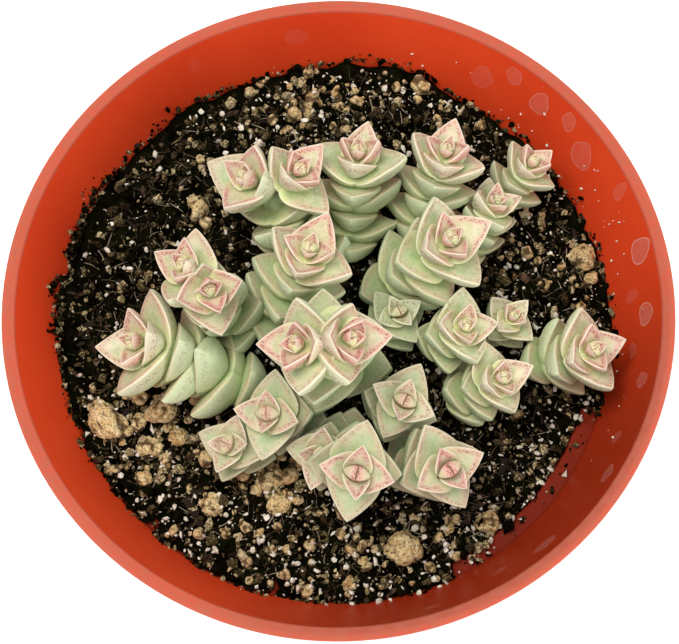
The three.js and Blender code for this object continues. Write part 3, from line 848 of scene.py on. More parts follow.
def fibres(random, count, longest, thickness, steps=7):
    """Bent straws lying on the soil: a line of points each, with a square section round it."""
    starts = strewn(random, count, np.full(count, 0.3), reach=41)
    headings = random.uniform(0, 2 * math.pi, count)
    bends = random.normal(0, 0.35, count)
    lengths = longest * few_large(random, count, 0.25, 0.75, 1.6)
    t = np.linspace(-0.5, 0.5, steps)
    angle = headings[:, None] + bends[:, None] * t
    x = starts[:, :1] + np.cumsum(np.cos(angle), axis=1) * lengths[:, None] / steps
    y = starts[:, 1:2] + np.cumsum(np.sin(angle), axis=1) * lengths[:, None] / steps
    lift = random.uniform(0.15, 0.75, count)[:, None]
    z = soil_top(x, y) + lift + 0.3 * random.normal(0, 1, count)[:, None] * t
    inside_wall = (np.hypot(x, y) < room_at(z) - 0.3).all(axis=1)
    taper = thickness * random.uniform(0.6, 1.3, count)[:, None] * (1 - 0.75 * np.abs(2 * t) ** 2)
    across = np.stack([-np.sin(angle), np.cos(angle), np.zeros_like(angle)], axis=2)
    upwards = np.broadcast_to([0, 0, 1.0], across.shape)
    line = np.stack([x, y, z], axis=2)
    corners = [line + taper[:, :, None] * side for side in (across, upwards, -across, -upwards)]
    points = np.stack(corners, axis=2)[inside_wall]
    sides = len(corners)
    faces = ring_faces(steps, sides)[0] + (np.arange(len(points)) * steps * sides)[:, None, None]
    tints = np.repeat(random.uniform(0, 1, len(points)), steps * sides)
    return points.reshape(-1, 3), faces.reshape(-1, 4), tints


fibre_points, fibre_faces, fibre_tints = fibres(
    np.random.default_rng(31), FIBRES, FIBRE_LENGTH, FIBRE_THICKNESS
)
add_piece("fibres", fibre_points, [fibre_faces], fibre_material, marks={"tint": fibre_tints})
print("fibre faces:", len(fibre_faces))

# %% [markdown]
# ## Pumice and perlite
#
# Pumice is tan, full of pores, and made of knobs with deep creases between them; painted shade darkens
# the creases and the pores. Perlite is white and looks like crumbs of foam. The eight biggest stones have
# nodes of their own in the frame, and are modelled one by one at the same place and size. The smaller
# grains that stand out in the photograph are placed from a list, and the rest are strewn.

# %% Stone finishes
pumice_material, tree, surface = new_material("pumice")
colour = mixed(mark(tree, "tint"), (0.47, 0.285, 0.09), (0.72, 0.54, 0.25))
colour = stained(colour, (0.95, 0.81, 0.48), 0.65, 1.1, 0.16)
colour = stained(colour, (0.4, 0.2, 0.06), 0.35, 0.8, 0.12)
# Painted shade: the creases between the knobs are darkened.
shaded_crease = between(mark(tree, "dent"), 0.45, -0.4)
colour = mixed(shaded_crease * 0.9, colour, (0.085, 0.042, 0.014))
# Pores: sunk by the bump, and darkened in colour with painted shade.
pores = effect(tree, SPECKS, Spacing=0.34, Radius=0.11, Share=0.6)
feed(surface, {
    "Base Color": mixed(pores * 0.45, colour, (0.13, 0.065, 0.022)),
    "Roughness": 0.9,
    "Specular IOR Level": 0.25,
    "Normal": bump(effect(tree, GRAIN, Size=0.6) - pores * 0.5, 1.0, 0.75),
})

perlite_material, tree, surface = new_material("perlite")
clouds = effect(tree, MOTTLE, Size=0.8, Softness=0.2)
feed(surface, {
    "Base Color": mixed(clouds, (0.78, 0.74, 0.64), (0.5, 0.44, 0.33)),
    "Roughness": 0.75,
    "Normal": bump(effect(tree, GRAIN, Size=0.35), 0.8, 0.15),
})
print("stone materials ready")

# %% The eight big stones
STONES = [
    ((-36.3, -14.6), (3.9, 2.6, 2.2), -52),
    ((-28.0, -12.6), (2.7, 2.2, 1.7), 20),
    ((-30.0, -18.8), (2.2, 2.0, 1.5), 0),
    ((-20.3, -27.8), (1.8, 1.8, 1.4), 0),
    ((-9.9, -27.9), (2.0, 1.8, 1.6), 0),
    ((8.7, -35.3), (2.5, 2.4, 1.8), 0),
    ((22.0, -31.2), (1.9, 1.7, 1.3), 30),
    ((39.6, 10.4), (2.2, 2.0, 1.6), 60),
]
STONE_SUNK = 0.35
STONE_WAVES = [(1.6, 0.045), (4.5, 0.035), (19.0, 0.010)]
WAVES_OF_A_SIZE = 5
COARSE_KNOBS = 24
FINE_KNOBS = 120


def big_stone(number, place, half, turn):
    """A lumpy stone with knobs and creases at two scales."""
    random = np.random.default_rng(100 + number)
    points, faces = ball(5)
    swell = np.zeros(len(points))
    for size, depth in STONE_WAVES:
        for _ in range(WAVES_OF_A_SIZE):
            direction = random.normal(size=3)
            direction *= size / np.linalg.norm(direction)
            swell += depth * np.sin(points @ direction + random.uniform(0, 2 * math.pi))
    coarse = creases(random, points, COARSE_KNOBS)
    fine = creases(random, points, FINE_KNOBS)
    shaped = points * (1.08 + swell - 0.34 * coarse**2 - 0.16 * fine**2)[:, None] * np.array(half)
    angle = math.radians(turn)
    x = shaped[:, 0] * math.cos(angle) - shaped[:, 1] * math.sin(angle) + place[0]
    y = shaped[:, 0] * math.sin(angle) + shaped[:, 1] * math.cos(angle) + place[1]
    z = shaped[:, 2] + soil_height(*place) + half[2] * (1 - 2 * STONE_SUNK)
    tint = np.full(len(points), random.uniform(0.2, 1))
    marks = {"tint": tint, "dent": 0.9 - 2.0 * coarse**2 - 1.5 * fine**2}
    node = f"pumice_stone_{number}"
    stone_points = np.stack([x, y, z], axis=1)
    add_piece(f"big_pumice_{number}", stone_points, [faces], pumice_material, [node], marks)


for number, stone in enumerate(STONES, start=1):
    big_stone(number, *stone)
print("big stones:", len(STONES))

# %% Small grains of pumice
PLACED_GRAINS = [
    (-31.3, -10.9, 1.2), (-26.6, -11.0, 1.3), (-33.2, -10.4, 1.0), (-31.4, -14.6, 1.3), (-26.4, -15.0, 1.1),
    (-21.7, -11.8, 1.7), (-25.4, -17.2, 1.5), (-23.8, -14.5, 0.9), (-27.4, -20.4, 1.2), (-21.1, -20.8, 1.1),
    (-30.8, -23.4, 1.3), (-13.1, -21.7, 1.6), (-11.6, -24.5, 1.7), (-8.0, -23.9, 1.5), (-9.4, -20.6, 1.3),
    (-7.0, -22.0, 1.2), (-12.9, -25.4, 1.2), (-15.2, -23.5, 1.3), (-14.2, -19.0, 1.0), (-10.2, -24.0, 1.2),
    (34.7, -19.5, 1.6), (14.7, 39.9, 1.7), (21.9, 37.8, 1.3), (23.6, 35.8, 1.2), (24.1, 33.5, 1.1),
    (-3.4, 38.2, 1.2), (-6.3, 35.9, 1.3), (0.8, 39.4, 1.2), (37.8, 19.1, 1.5), (40.3, 13.9, 1.3),
    (40.6, 6.6, 1.3), (30.7, 11.3, 1.1), (-42.0, -4.1, 1.7), (-22.2, 19.7, 1.6), (-23.0, 21.4, 1.0),
    (-21.1, 17.8, 1.0), (-5.3, -34.5, 0.9), (-14.8, -36.5, 1.0), (-0.1, -29.6, 1.2), (2.6, -34.8, 0.9),
]
CLUSTERS = [
    ((-10.5, -22.5), 3.4, 46), ((-28.0, -15.5), 4.6, 46), ((-20, -27), 6.0, 26),
    ((32, 6), 7.0, 46), ((14, 38), 7.0, 40), ((0, -37), 6.0, 50),
    ((-16, -34), 5.0, 12), ((16, -34), 5.0, 24), ((-4, 39), 5.0, 50),
]
STREWN_GRAINS = 110
LARGE_GRAIN = 0.75
GRAIN_KNOBS = 16

grain_random = np.random.default_rng(47)
rows = [np.array(PLACED_GRAINS)]
for (middle_x, middle_y), spread, count in CLUSTERS:
    grain_x = grain_random.normal(middle_x, spread, count)
    grain_y = grain_random.normal(middle_y, spread, count)
    rows.append(np.stack([grain_x, grain_y, few_large(grain_random, count, 0.3, 0.7, 1.5)], axis=1))
scattered = strewn(grain_random, STREWN_GRAINS, np.full(STREWN_GRAINS, 0.6))
scattered[:, 2] = few_large(grain_random, STREWN_GRAINS, 0.25, 0.6, 2)
grain_x, grain_y, grain_sizes = np.vstack(rows + [scattered]).T
grain_places = np.stack([grain_x, grain_y, soil_top(grain_x, grain_y) + 0.4 * grain_sizes], axis=1)
clear = np.hypot(grain_x, grain_y) < room_at(grain_places[:, 2]) - 1.1 * grain_sizes
grain_places, grain_sizes = grain_places[clear], grain_sizes[clear]
grain_halves = stretched(grain_random, grain_sizes, 0.7, 1.1)
large = grain_sizes > LARGE_GRAIN
for name, chosen, subdivisions in (("pumice_grains", large, 3), ("pumice_crumbs", ~large, 2)):
    places, halves = grain_places[chosen], grain_halves[chosen]
    add_lumps(name, grain_random, places, halves, subdivisions, 0.11, pumice_material, GRAIN_KNOBS)

# %% [markdown]
# White perlite crumbs lie everywhere, though thinly at the left and the back left, and a row of them has
# caught on the ledge at the front. A few more stick to the wall at the right.

# %% Perlite
PERLITE = 5200
PERLITE_LIFT = 0.12
THIN_SHARE = 0.34
MIDDLE_SHARE = 0.62
THICK_SHARE = 0.85
LEDGE_GRAINS = [
    (-94, 0.5), (-88.9, 0.75), (-83.7, 0.6), (-81.3, 0.5), (-75.5, 0.55), (-71.2, 0.5), (-69.8, 0.8),
]
LEDGE_GRAIN_HEIGHT = 70.2
WALL_WHITES = 46


def on_wall(degrees, height, sizes):
    """Places on the inner wall of the collar, with the centres a little inside it."""
    return around_axis(collar_radius(height) - 0.55 * sizes, np.radians(degrees), height)


perlite_random = np.random.default_rng(59)
perlite_sizes = few_large(perlite_random, PERLITE, 0.09, 0.40, 3.0)
perlite_places = strewn(perlite_random, PERLITE, perlite_sizes, sink=1.6)
x, y = perlite_places[:, 0], perlite_places[:, 1]
thin = (x < -22) & (y > -10) | (x < -9) & (y > 6)
share = np.where(thin, THIN_SHARE, np.where(np.abs(y) > 27, THICK_SHARE, MIDDLE_SHARE))
kept = perlite_random.uniform(0, 1, PERLITE) < share
perlite_sizes, perlite_places = perlite_sizes[kept], perlite_places[kept]
perlite_places[:, 2] += PERLITE_LIFT

ledge_degrees, ledge_sizes = np.array(LEDGE_GRAINS).T
ledge_sizes = ledge_sizes * 0.7
ledge_places = on_wall(ledge_degrees, LEDGE_GRAIN_HEIGHT, ledge_sizes)
white_sizes = perlite_random.uniform(0.09, 0.24, WALL_WHITES)
white_degrees = perlite_random.normal(18, 26, WALL_WHITES)
white_places = on_wall(white_degrees, perlite_random.uniform(70.5, 80, WALL_WHITES), white_sizes)
perlite_places = np.vstack([perlite_places, ledge_places, white_places])
perlite_sizes = np.concatenate([perlite_sizes, ledge_sizes, white_sizes])
perlite_halves = stretched(perlite_random, perlite_sizes, 0.35, 1.5)
add_lumps("perlite", perlite_random, perlite_places, perlite_halves, 1, 0.3, perlite_material)

# %% [markdown]
# Soil also clings to the wall where it was filled in, half of it at the left, in clumps. Those crumbs sit
# on the collar's slope. Where the soil lies lower than the ledge, they lie on the bare ledge instead, and
# most of them are left out.

# %% What clings to the wall
CLINGING = 1500
CLING_MIDDLE = 170
CLING_SPREAD = 15
CLING_RADIUS = 43
LEFT_ON_LEDGE = 0.3

cling_random = np.random.default_rng(61)
at_left = cling_random.uniform(0, 1, CLINGING) < 0.5
anywhere = cling_random.uniform(-180, 180, CLINGING)
cling_degrees = np.where(at_left, cling_random.normal(CLING_MIDDLE, CLING_SPREAD, CLINGING), anywhere)
cling_sizes = few_large(cling_random, CLINGING, 0.14, 0.5, 2.5)
cling_angle = np.radians(cling_degrees)
clumps = 0.6 + 0.5 * np.sin(cling_angle * 9) * np.sin(cling_angle * 23 + 1)
cling_rise = np.abs(cling_random.normal(0, 1.0, CLINGING)) * np.where(at_left, 2.0, 1.1) * clumps
cling_ground = soil_top(CLING_RADIUS * np.cos(cling_angle), CLING_RADIUS * np.sin(cling_angle))
cling_height = np.maximum(cling_ground, LEDGE_HEIGHT + 0.2) + cling_rise
cling_places = on_wall(cling_degrees, cling_height, cling_sizes)
bare = cling_ground < LEDGE_HEIGHT + 0.5
inward = (LEDGE_OUTER - NECK_INNER) * cling_random.uniform(0.05, 1, CLINGING)
pull = 1 - inward / np.hypot(cling_places[:, 0], cling_places[:, 1])
cling_places[bare, :2] *= pull[bare, None]
cling_places[bare, 2] = LEDGE_HEIGHT + 0.4 * cling_sizes[bare]
cling_halves = stretched(cling_random, cling_sizes, 0.6, 1.2)
stays = ~bare | (cling_random.uniform(0, 1, CLINGING) < LEFT_ON_LEDGE)
places, halves = cling_places[stays], cling_halves[stays]
add_lumps("clinging_soil", cling_random, places, halves, 1, 0.25, soil_material)

# %% [markdown]
# Hard water has run down the wall and dried in drops, mostly at the right. A dried drop is a film far
# thinner than the wall, with a paler line round it where the water stayed longest. Painting it into the
# plastic would need its place in the material; a thin sheet just off the wall can be placed one by one,
# and its own marks tell the material where its edge is. Its alpha lets the red show through.

# %% Dried drops
drop_material, tree, surface = new_material("dried_drops")
reach, faint = mark(tree, "reach"), mark(tree, "faint")
outline = between(reach, 0.84, 0.92) * between(reach, 1.0, 0.95)
cloud = effect(tree, MOTTLE, Size=0.8, Softness=0.25)
film = outline * (faint * 0.42) + (cloud * 0.16 + 0.10)
feed(surface, {
    "Base Color": mixed(cloud, (0.86, 0.46, 0.38), (0.8, 0.38, 0.3)),
    "Alpha": film * between(reach, 1.0, 0.93) * faint,
    "Roughness": 0.6,
    "Specular IOR Level": 0.1,
})

DRIED_DROPS = [
    (9, 81.4, 1.9, 2.9, 1.0), (-3, 80.2, 1.7, 2.2, 0.95), (-16, 80.4, 1.3, 1.5, 0.6),
    (21, 82.0, 1.0, 2.2, 0.55), (2, 76.6, 0.9, 1.9, 0.4), (-9, 76.4, 1.3, 1.1, 0.45),
    (32, 79.0, 2.2, 2.9, 0.6), (38, 81.8, 1.4, 1.8, 0.7), (45, 80.4, 1.8, 2.3, 0.75),
    (52, 82.0, 1.5, 1.7, 0.6), (58, 78.4, 2.0, 2.2, 0.4), (97, 80.4, 1.9, 1.6, 0.25),
    (-27, 77.8, 1.0, 1.2, 0.4), (-35, 81.2, 1.5, 1.3, 0.6), (-52, 80.4, 1.9, 1.5, 0.55),
    (-61, 77.6, 1.1, 1.0, 0.4), (-75, 80.8, 1.2, 0.9, 0.35), (118, 80.9, 1.1, 1.3, 0.2),
]
DROP_RINGS = 6
DROP_SIDES = 48
FILM_GAP = 0.04


def dried_drop(random, degrees, height, half, tall, faint):
    """A drop-shaped sheet on the wall: wide below, drawn out above, with an uneven edge."""
    t = np.arange(DROP_SIDES) * 2 * math.pi / DROP_SIDES
    uneven = np.ones(DROP_SIDES)
    for k in (2, 3, 4, 5):
        uneven += random.uniform(-0.18, 0.18) / k * np.sin(k * t + random.uniform(0, 2 * math.pi))
    narrow = 1 - random.uniform(0, 0.35) * np.sin(t)
    reach = np.linspace(0, 1, DROP_RINGS + 1)[1:, None]
    sideways = reach * half * uneven * narrow * np.cos(t)
    z = height + reach * tall * uneven * np.sin(t)
    sideways, z = np.append(sideways.ravel(), 0), np.append(z.ravel(), height)
    radius = collar_radius(z) - FILM_GAP
    points = around_axis(radius, math.radians(degrees) + sideways / radius, z)
    quads, fans = flipped(ring_faces(DROP_RINGS, DROP_SIDES))
    reaches = np.append(np.repeat(reach.ravel(), DROP_SIDES), 0)
    return points, quads, fans[:DROP_SIDES], reaches, np.full(len(points), faint)


drop_random = np.random.default_rng(71)
drops = [dried_drop(drop_random, *row) for row in DRIED_DROPS]
points, quads, fans, reaches, faints = zip(*drops)
offsets = np.cumsum([0] + [len(part) for part in points])
drop_faces = [np.vstack([part + offset for part, offset in zip(kind, offsets)]) for kind in (quads, fans)]
drop_marks = {"reach": np.concatenate(reaches), "faint": np.concatenate(faints)}
add_piece("dried_drops", np.vstack(points), drop_faces, drop_material, marks=drop_marks)
print("dried drops:", len(drops))

# %% [markdown]
# ## The shoots
#
# Each shoot is a stem in a gentle curve, hidden by leaf pairs that turn a quarter from one to the next.
# The rows below are the same ones that made the frame's solids, with the node of each stem. A row says
# what grows there, where it leaves the soil or its trunk, where its bud's tip is, how the crown leans, the
# length of an outer leaf, and the direction of the outer pair. The last two are new: how pink the crown
# is, and its form.

# %% One row for each shoot
SHOOTS = {
    "twin_stem_back_left": [
        ("trunk", (-2.5, 8.5), (-9.6, 17, 84.4), (-0.1, 0.25), 8.1, -12, 0.5, "open"),
        ("branch", (-9.9, 16.8, 81.5), (-13.4, 17.6, 91), (-0.15, 0), 7.5, 152, 0.85, "open"),
        ("branch", (-9.2, 16.8, 81.5), (-5, 18, 92), (0.1, 0), 6.9, -41, 1.0, "open"),
    ],
    "stem_middle_back": [("shoot", (-10, 0.8), (-3.9, 5.9, 91.2), (0.05, 0.02), 7.3, 162, 0.75, "open")],
    "twin_stem_middle": [
        ("trunk", (-0.5, -7), (-2.7, -8.8, 91.5), (-0.05, -0.1), 9.2, -6, 0.5, "open"),
        ("branch", (-3.2, -8.8, 88.5), (-6.2, -10, 95.2), (-0.15, -0.1), 7.7, 90, 0.95, "open"),
        ("branch", (-2, -8.8, 88.5), (1.9, -9.5, 95.2), (0.12, -0.1), 7.3, 92, 1.0, "open"),
    ],
    "twin_stem_left": [
        ("trunk", (-15, -0.8), (-20.3, 2.7, 84.8), (-0.25, 0.1), 6.7, -85, 0.5, "open"),
        ("branch", (-20.6, 2.9, 81.6), (-22.8, 4.8, 89), (-0.15, 0.08), 6.8, 70, 0.9, "open"),
        ("branch", (-20, 2.5, 81.6), (-18.6, 0.4, 89.6), (0.05, -0.1), 7.1, -78, 0.95, "open"),
    ],
    "stem_far_left": [("shoot", (-14, -9.8), (-30.8, -5.7, 84.9), (-0.28, -0.04), 8, 79, 0.85, "open")],
    "stem_back": [("shoot", (2.5, 12.5), (3.8, 22, 89.5), (0.02, 0.05), 7.1, -8, 0.8, "open")],
    "stem_back_right": [("shoot", (12.5, 14.5), (17.1, 21.9, 89.2), (0.05, 0.08), 6.7, -22, 0.85, "open")],
    "stem_right_upper": [("shoot", (20, 11), (25.1, 16.1, 82.4), (0.12, 0.03), 5.4, 92, 0.6, "open")],
    "stem_far_back_right": [("shoot", (26.5, 19.5), (31.2, 22.6, 82), (0.12, 0.05), 5.3, 135, 0.7, "open")],
    "stem_pink_right": [("shoot", (9, 5.5), (17, 6.8, 91), (0.12, -0.05), 7.7, 118, 0.75, "open")],
    "stem_green_middle": [("shoot", (7.6, -1.8), (9.3, -1, 80.8), (0.03, 0), 5.1, 119, 0.3, "flat")],
    "stem_right_inner": [("shoot", (15, -4.5), (19, -4.4, 84), (0.08, 0), 6.1, 92, 0.6, "open")],
    "stem_right_small": [("shoot", (24.6, -1.5), (26.8, -1.8, 79.5), (0.08, 0.03), 4.5, -45, 0.5, "open")],
    "stem_right_front": [("shoot", (18.5, -12.5), (24.2, -12.3, 82.5), (0.08, -0.04), 5.8, 101, 0.65, "open")],
    "stem_far_right": [("shoot", (30.5, -6.5), (38, -8.4, 82.8), (0.08, -0.04), 6.7, 113, 0.85, "open")],
    "stem_front_middle": [("shoot", (7, -13.5), (9.4, -15.8, 84), (0.05, -0.06), 6.2, 63, 0.65, "flat")],
    "stem_front_right": [("shoot", (10.4, -22.7), (15.5, -26.2, 84), (0.08, -0.1), 6.8, 121, 0.95, "flat")],
    "stem_front": [
        ("shoot", (1, -20), (2, -27, 87), (0.02, -0.15), 7.1, 79, 0.9, "flat"),
        ("shoot", (-0.5, -19), (-3.6, -23.6, 83), (-0.12, -0.12), 5.8, 165, 0.6, "flat"),
    ],
    "stem_front_left": [("shoot", (-7, -15), (-10.9, -17.2, 84.5), (-0.08, -0.06), 6.4, 80, 0.75, "folded")],
    "stem_low_left": [("shoot", (-14.5, -20), (-17.2, -20.6, 80), (-0.12, -0.05), 5.7, 161, 0.6, "folded")],
}
print("shoots:", sum(len(rows) for rows in SHOOTS.values()), "on", len(SHOOTS), "stems")

# %% [markdown]
# The stem's line is a cubic curve with four control points: it leaves the soil upright, and arrives at
# the tip along the crown's lean. Places on it are wanted by length, so the curve is walked in small steps
# and the steps are added up.

# %% The line of a stem
BEND_EARLY = 0.25
BEND_LATE = 0.4
LINE_POINTS = 201


def unit(vector):
    """The same direction, one long."""
    return vector / np.linalg.norm(vector)


def stem_line(kind, start, tip, lean):
    """Points along a stem, the direction at each, and the length up to each."""
    tip = np.array(tip, float)
    crown = unit(np.array([*lean, 1.0]))
    if kind == "branch":
        foot = np.array(start, float)
        first = unit(tip - foot)
    else:
        foot = np.array([*start, float(soil_height(*start))])
        first = np.array([0, 0, 1.0])
    reach = np.linalg.norm(tip - foot)
    early = foot + first * reach * BEND_EARLY
    late = tip - crown * reach * BEND_LATE
    t = np.linspace(0, 1, LINE_POINTS)[:, None]
    points = (1 - t) ** 3 * foot + 3 * t * (1 - t) ** 2 * early + 3 * t**2 * (1 - t) * late + t**3 * tip
    slopes = 3 * (1 - t) ** 2 * (early - foot) + 6 * t * (1 - t) * (late - early) + 3 * t**2 * (tip - late)
    slopes /= np.linalg.norm(slopes, axis=1)[:, None]
    steps = np.linalg.norm(np.diff(points, axis=0), axis=1)
    return points, slopes, np.concatenate([[0], np.cumsum(steps)])


def on_line(line, share):
    """The place and direction at a share of a stem's length."""
    points, slopes, lengths = line
    at = share * lengths[-1]
    place = np.array([np.interp(at, lengths, points[:, k]) for k in range(3)])
    slope = np.array([np.interp(at, lengths, slopes[:, k]) for k in range(3)])
    return place, unit(slope)


print("length of the stem at the back:", round(stem_line(*SHOOTS["stem_back"][0][:4])[2][-1], 1), "mm")

# %% [markdown]
# A leaf pair is one body: two boat-shaped leaves joined round the stem. Its section is a boat too, with a
# shallow trough above, soft margins and a deep rounded keel. Drawn as a mesh it is a stack of rings from
# one tip through the stem to the other. A ring's points go once round, and two numbers place each point:
# how far along the leaf it is, and how far across. The leaf opens from the stem at an angle and curls
# back up as it goes, so its middle line is a piece of a circle. No two leaves are quite alike: each has
# its own small share of length, opening, curl and twist.

# %% Leaf shape
ALONG = np.array([
    0.04, 0.1, 0.18, 0.27, 0.37, 0.47, 0.57, 0.67, 0.76, 0.83, 0.89, 0.935, 0.965, 0.985, 0.996,
])
AROUND = 26


def half_width(along, plump):
    """Half the width of a leaf as a share of its length: broad at the stem, nearly straight to the tip."""
    root = 1 - 0.22 * np.clip(1 - along / 0.35, 0, 1) ** 2
    return 0.61 * (1 - along ** (1.6 + 0.25 * plump)) ** (0.94 - 0.06 * plump) * root


def section(along, across, low, plump):
    """Height of a point over the leaf's middle line. Plump, old leaves are deeper and have no trough."""
    thin = (1 - along**3.5) ** 0.7
    reach = np.abs(across)
    lip = 0.028 * (1 - along**6) * np.sqrt(1 - reach**9)
    trough = 0.075 * thin * (1 - np.clip(reach / 0.9, 0, 1) ** 1.7)
    swollen = 0.075 * thin * (1 - reach**2) ** 0.65
    keel = (0.38 + 0.05 * plump) * (1 - along**2.6) ** 0.75 + 0.03
    below = keel * (1 - reach ** (1.75 + 0.2 * plump)) ** (0.98 - 0.22 * plump)
    return np.where(low, 0.03 - below, 0.03 + (1 - plump) * (lip - trough) + plump * swollen)


print("half width in the middle of a leaf:", round(float(half_width(0.36, 0)), 3), "of its length")

# %% A pair of leaves
HANDS = np.concatenate([-np.ones(len(ALONG)), [1], np.ones(len(ALONG))])[:, None]
OUT = np.concatenate([ALONG[::-1], [0], ALONG])[:, None]
ROUND_ANGLE = np.arange(AROUND) / AROUND * 2 * math.pi
ACROSS = np.cos(ROUND_ANGLE)[None, :]
ROUNDING = 1e-9
LOW = np.sin(ROUND_ANGLE)[None, :] < -ROUNDING
FULL = np.ones_like(ACROSS * OUT)


def in_space(base, axis, outward, outwards, upwards, sideways):
    """Points from their distances outwards, up the stem and sideways."""
    side = np.cross(axis, outward)
    return base + outwards[:, :, None] * outward + upwards[:, :, None] * axis + sideways[:, :, None] * side


def leaf_pair(random, base, axis, outward, size, row, plump, crowded):
    """Points and marks of one pair, rings by points round. A crowded leaf is shorter and stands steeper."""
    own = np.where(HANDS < 0, random.normal(0, 1, 4)[:, None, None], random.normal(0, 1, 4)[:, None, None])
    less = np.where(HANDS < 0, crowded[0], crowded[1])
    leaf = row["length"] * size * (1 + 0.055 * np.clip(own[0], -1.6, 1)) * (1 - 0.3 * less)
    opening = math.radians(row["opening"])
    start = opening + 0.10 * np.clip(own[1], -1.6, 1.3) - 0.45 * less
    bend = np.maximum(math.radians(row["curl"]) + 0.06 * own[2], 0.03)
    above = section(OUT, ACROSS, LOW, plump) + 0.02 * np.sin(8 * OUT + 3 * own[3]) * ACROSS**3 * OUT
    angle = start - bend * OUT
    radial = leaf * (np.cos(angle) - np.cos(start)) / bend
    rise = leaf * (np.sin(start) - np.sin(angle)) / bend
    outwards = HANDS * (radial - above * leaf * np.cos(angle))
    upwards = rise + above * leaf * np.sin(angle)
    root_up = np.where(LOW, 0.03 + (above - 0.03) / max(math.sin(opening), 0.6), above) * leaf
    settle = np.clip(OUT / 0.16, 0, 1) ** 2 * (3 - 2 * np.clip(OUT / 0.16, 0, 1))
    outwards = settle * outwards + (1 - settle) * HANDS * radial
    upwards = settle * upwards + (1 - settle) * root_up
    width = half_width(OUT, plump) * leaf * row["wide"]
    twist = 0.055 * own[3] * OUT * leaf
    points = in_space(base, axis, outward, outwards, upwards, width * ACROSS + twist)
    edge = width * (1 - np.abs(ACROSS))
    return points, {"along": OUT * FULL, "edge": edge, "under": LOW * FULL, "shaded_crease": 0 * FULL}


print("points in a pair:", OUT.size * AROUND + 2)

# %% [markdown]
# The middle of a crown is still shut: two half domes with a thin slit between, in a pointed opening that
# the next pair leaves free. Both halves are one body here as well, with a groove for the slit. It uses
# the same rings as a pair, so the two can be mixed in one mesh.

# %% The shut bud
SLIT_DEPTH = 0.3


def shut_bud(tip, axis, outward, reach, half, outline_shade):
    """A pointed dome: its reach from the slit to a point, half its width, and how dark the painted shade of
    its outline is.
    """
    dome = -0.42 * reach * OUT**1.8 - 0.5 * half * (1 - np.sqrt(1 - np.abs(ACROSS) ** 2.5 * 0.99))
    groove = -SLIT_DEPTH * half * (1 - ACROSS**4) * np.clip(1 - OUT / 0.09, 0, 1)
    outwards = HANDS * OUT * reach * FULL
    upwards = np.where(LOW, -2.2 * reach * (1 - 0.5 * OUT), dome + groove)
    points = in_space(tip, axis, outward, outwards, upwards, half * (1 - OUT**1.9) ** 0.8 * ACROSS)
    # Painted shade: dark in the slit, along the outline where the bud meets the leaves round it, and on its
    # underside.
    rim = np.maximum((np.abs(ACROSS) - 0.80) / 0.12, (OUT - 0.93) / 0.04)
    slit = np.clip(1.1 - OUT / 0.07, 0, 1) * (0.4 + 0.6 * outline_shade)
    shaded_crease = np.where(LOW, outline_shade, np.clip(np.maximum(slit, outline_shade * rim), 0, 1)) * FULL
    along = (0.5 - 0.25 * OUT) * FULL
    return points, {"along": along, "edge": 0.3 + OUT * reach * FULL, "under": LOW * FULL, "shaded_crease": shaded_crease}


print("a bud's groove is", SLIT_DEPTH, "of its half width deep")

# %% [markdown]
# Three kinds of crown can be told apart in the photograph. An "open" one has small leaves that stand up
# like shells round a tiny bud. A "flat" one has a shut bud outlined in painted shade, which fills the
# pointed opening. A "folded" one is flat too, with a paler bud whose painted outline is faint. All have
# the same outer leaves. Below the crown the pairs sit close together down to the soil, and a trunk has
# only those.
#
# The rows below go from the bud outwards. Lengths, and places below the tip, are shares of the outer
# leaf's length; angles are in degrees; "wide" compares a leaf's width with that of an old one.

# %% Crowns
OPEN_CROWN = [
    {"bud": (0.17, 0.13)},
    {"below": 0.21, "length": 0.41, "opening": 42, "curl": 20, "wide": 0.78},
    {"below": 0.33, "length": 0.69, "opening": 51, "curl": 16, "wide": 0.82},
    {"below": 0.48, "length": 0.94, "opening": 62, "curl": 14, "wide": 0.90},
    {"below": 0.70, "length": 1.09, "opening": 72, "curl": 12, "wide": 1.0},
]
FLAT_CROWN = [
    {"bud": (0.30, 0.18)},
    {"below": 0.30, "length": 0.60, "opening": 70, "curl": 10, "wide": 0.88},
    {"below": 0.48, "length": 0.86, "opening": 77, "curl": 8, "wide": 0.90},
    {"below": 0.70, "length": 1.05, "opening": 82, "curl": 7, "wide": 1.0},
]
CROWNS = {"open": (OPEN_CROWN, -1), "flat": (FLAT_CROWN, 0), "folded": (FLAT_CROWN, 0)}
OLD_SPACING = 0.37
OLD_PAIR = {"length": 1.02, "opening": 78, "curl": 14, "wide": 1.0}
LEAF_FREE_HEIGHT = 1.6
MOST_PAIRS = 14


def pair_rows(kind, form, size, line):
    """The number, place, axis and form of each pair that grows on a stem, from the top down."""
    crown, first = ([], 0) if kind == "trunk" else CROWNS[form]
    below = 0.0
    for k in range(len(crown) if kind == "branch" else MOST_PAIRS):
        row = crown[k] if k < len(crown) else OLD_PAIR
        below = row.get("below", 0.0) if k < len(crown) else below + OLD_SPACING
        share = 1 - below * size / line[2][-1]
        if share < 0:
            return
        base, axis = on_line(line, share)
        if kind != "branch" and base[2] - soil_height(base[0], base[1]) < LEAF_FREE_HEIGHT:
            return
        yield first + k, base, axis, row


print("an open crown has", len(OPEN_CROWN) - 1, "pairs and a bud")

# %% The bare stem
TUBE_STEPS = 14
TUBE_SIDES = 12
TUBE_RADIUS = 1.2
ROOT_DEPTH = 3.0
OFF_AXIS = [0.31, 0.95, 0.05]


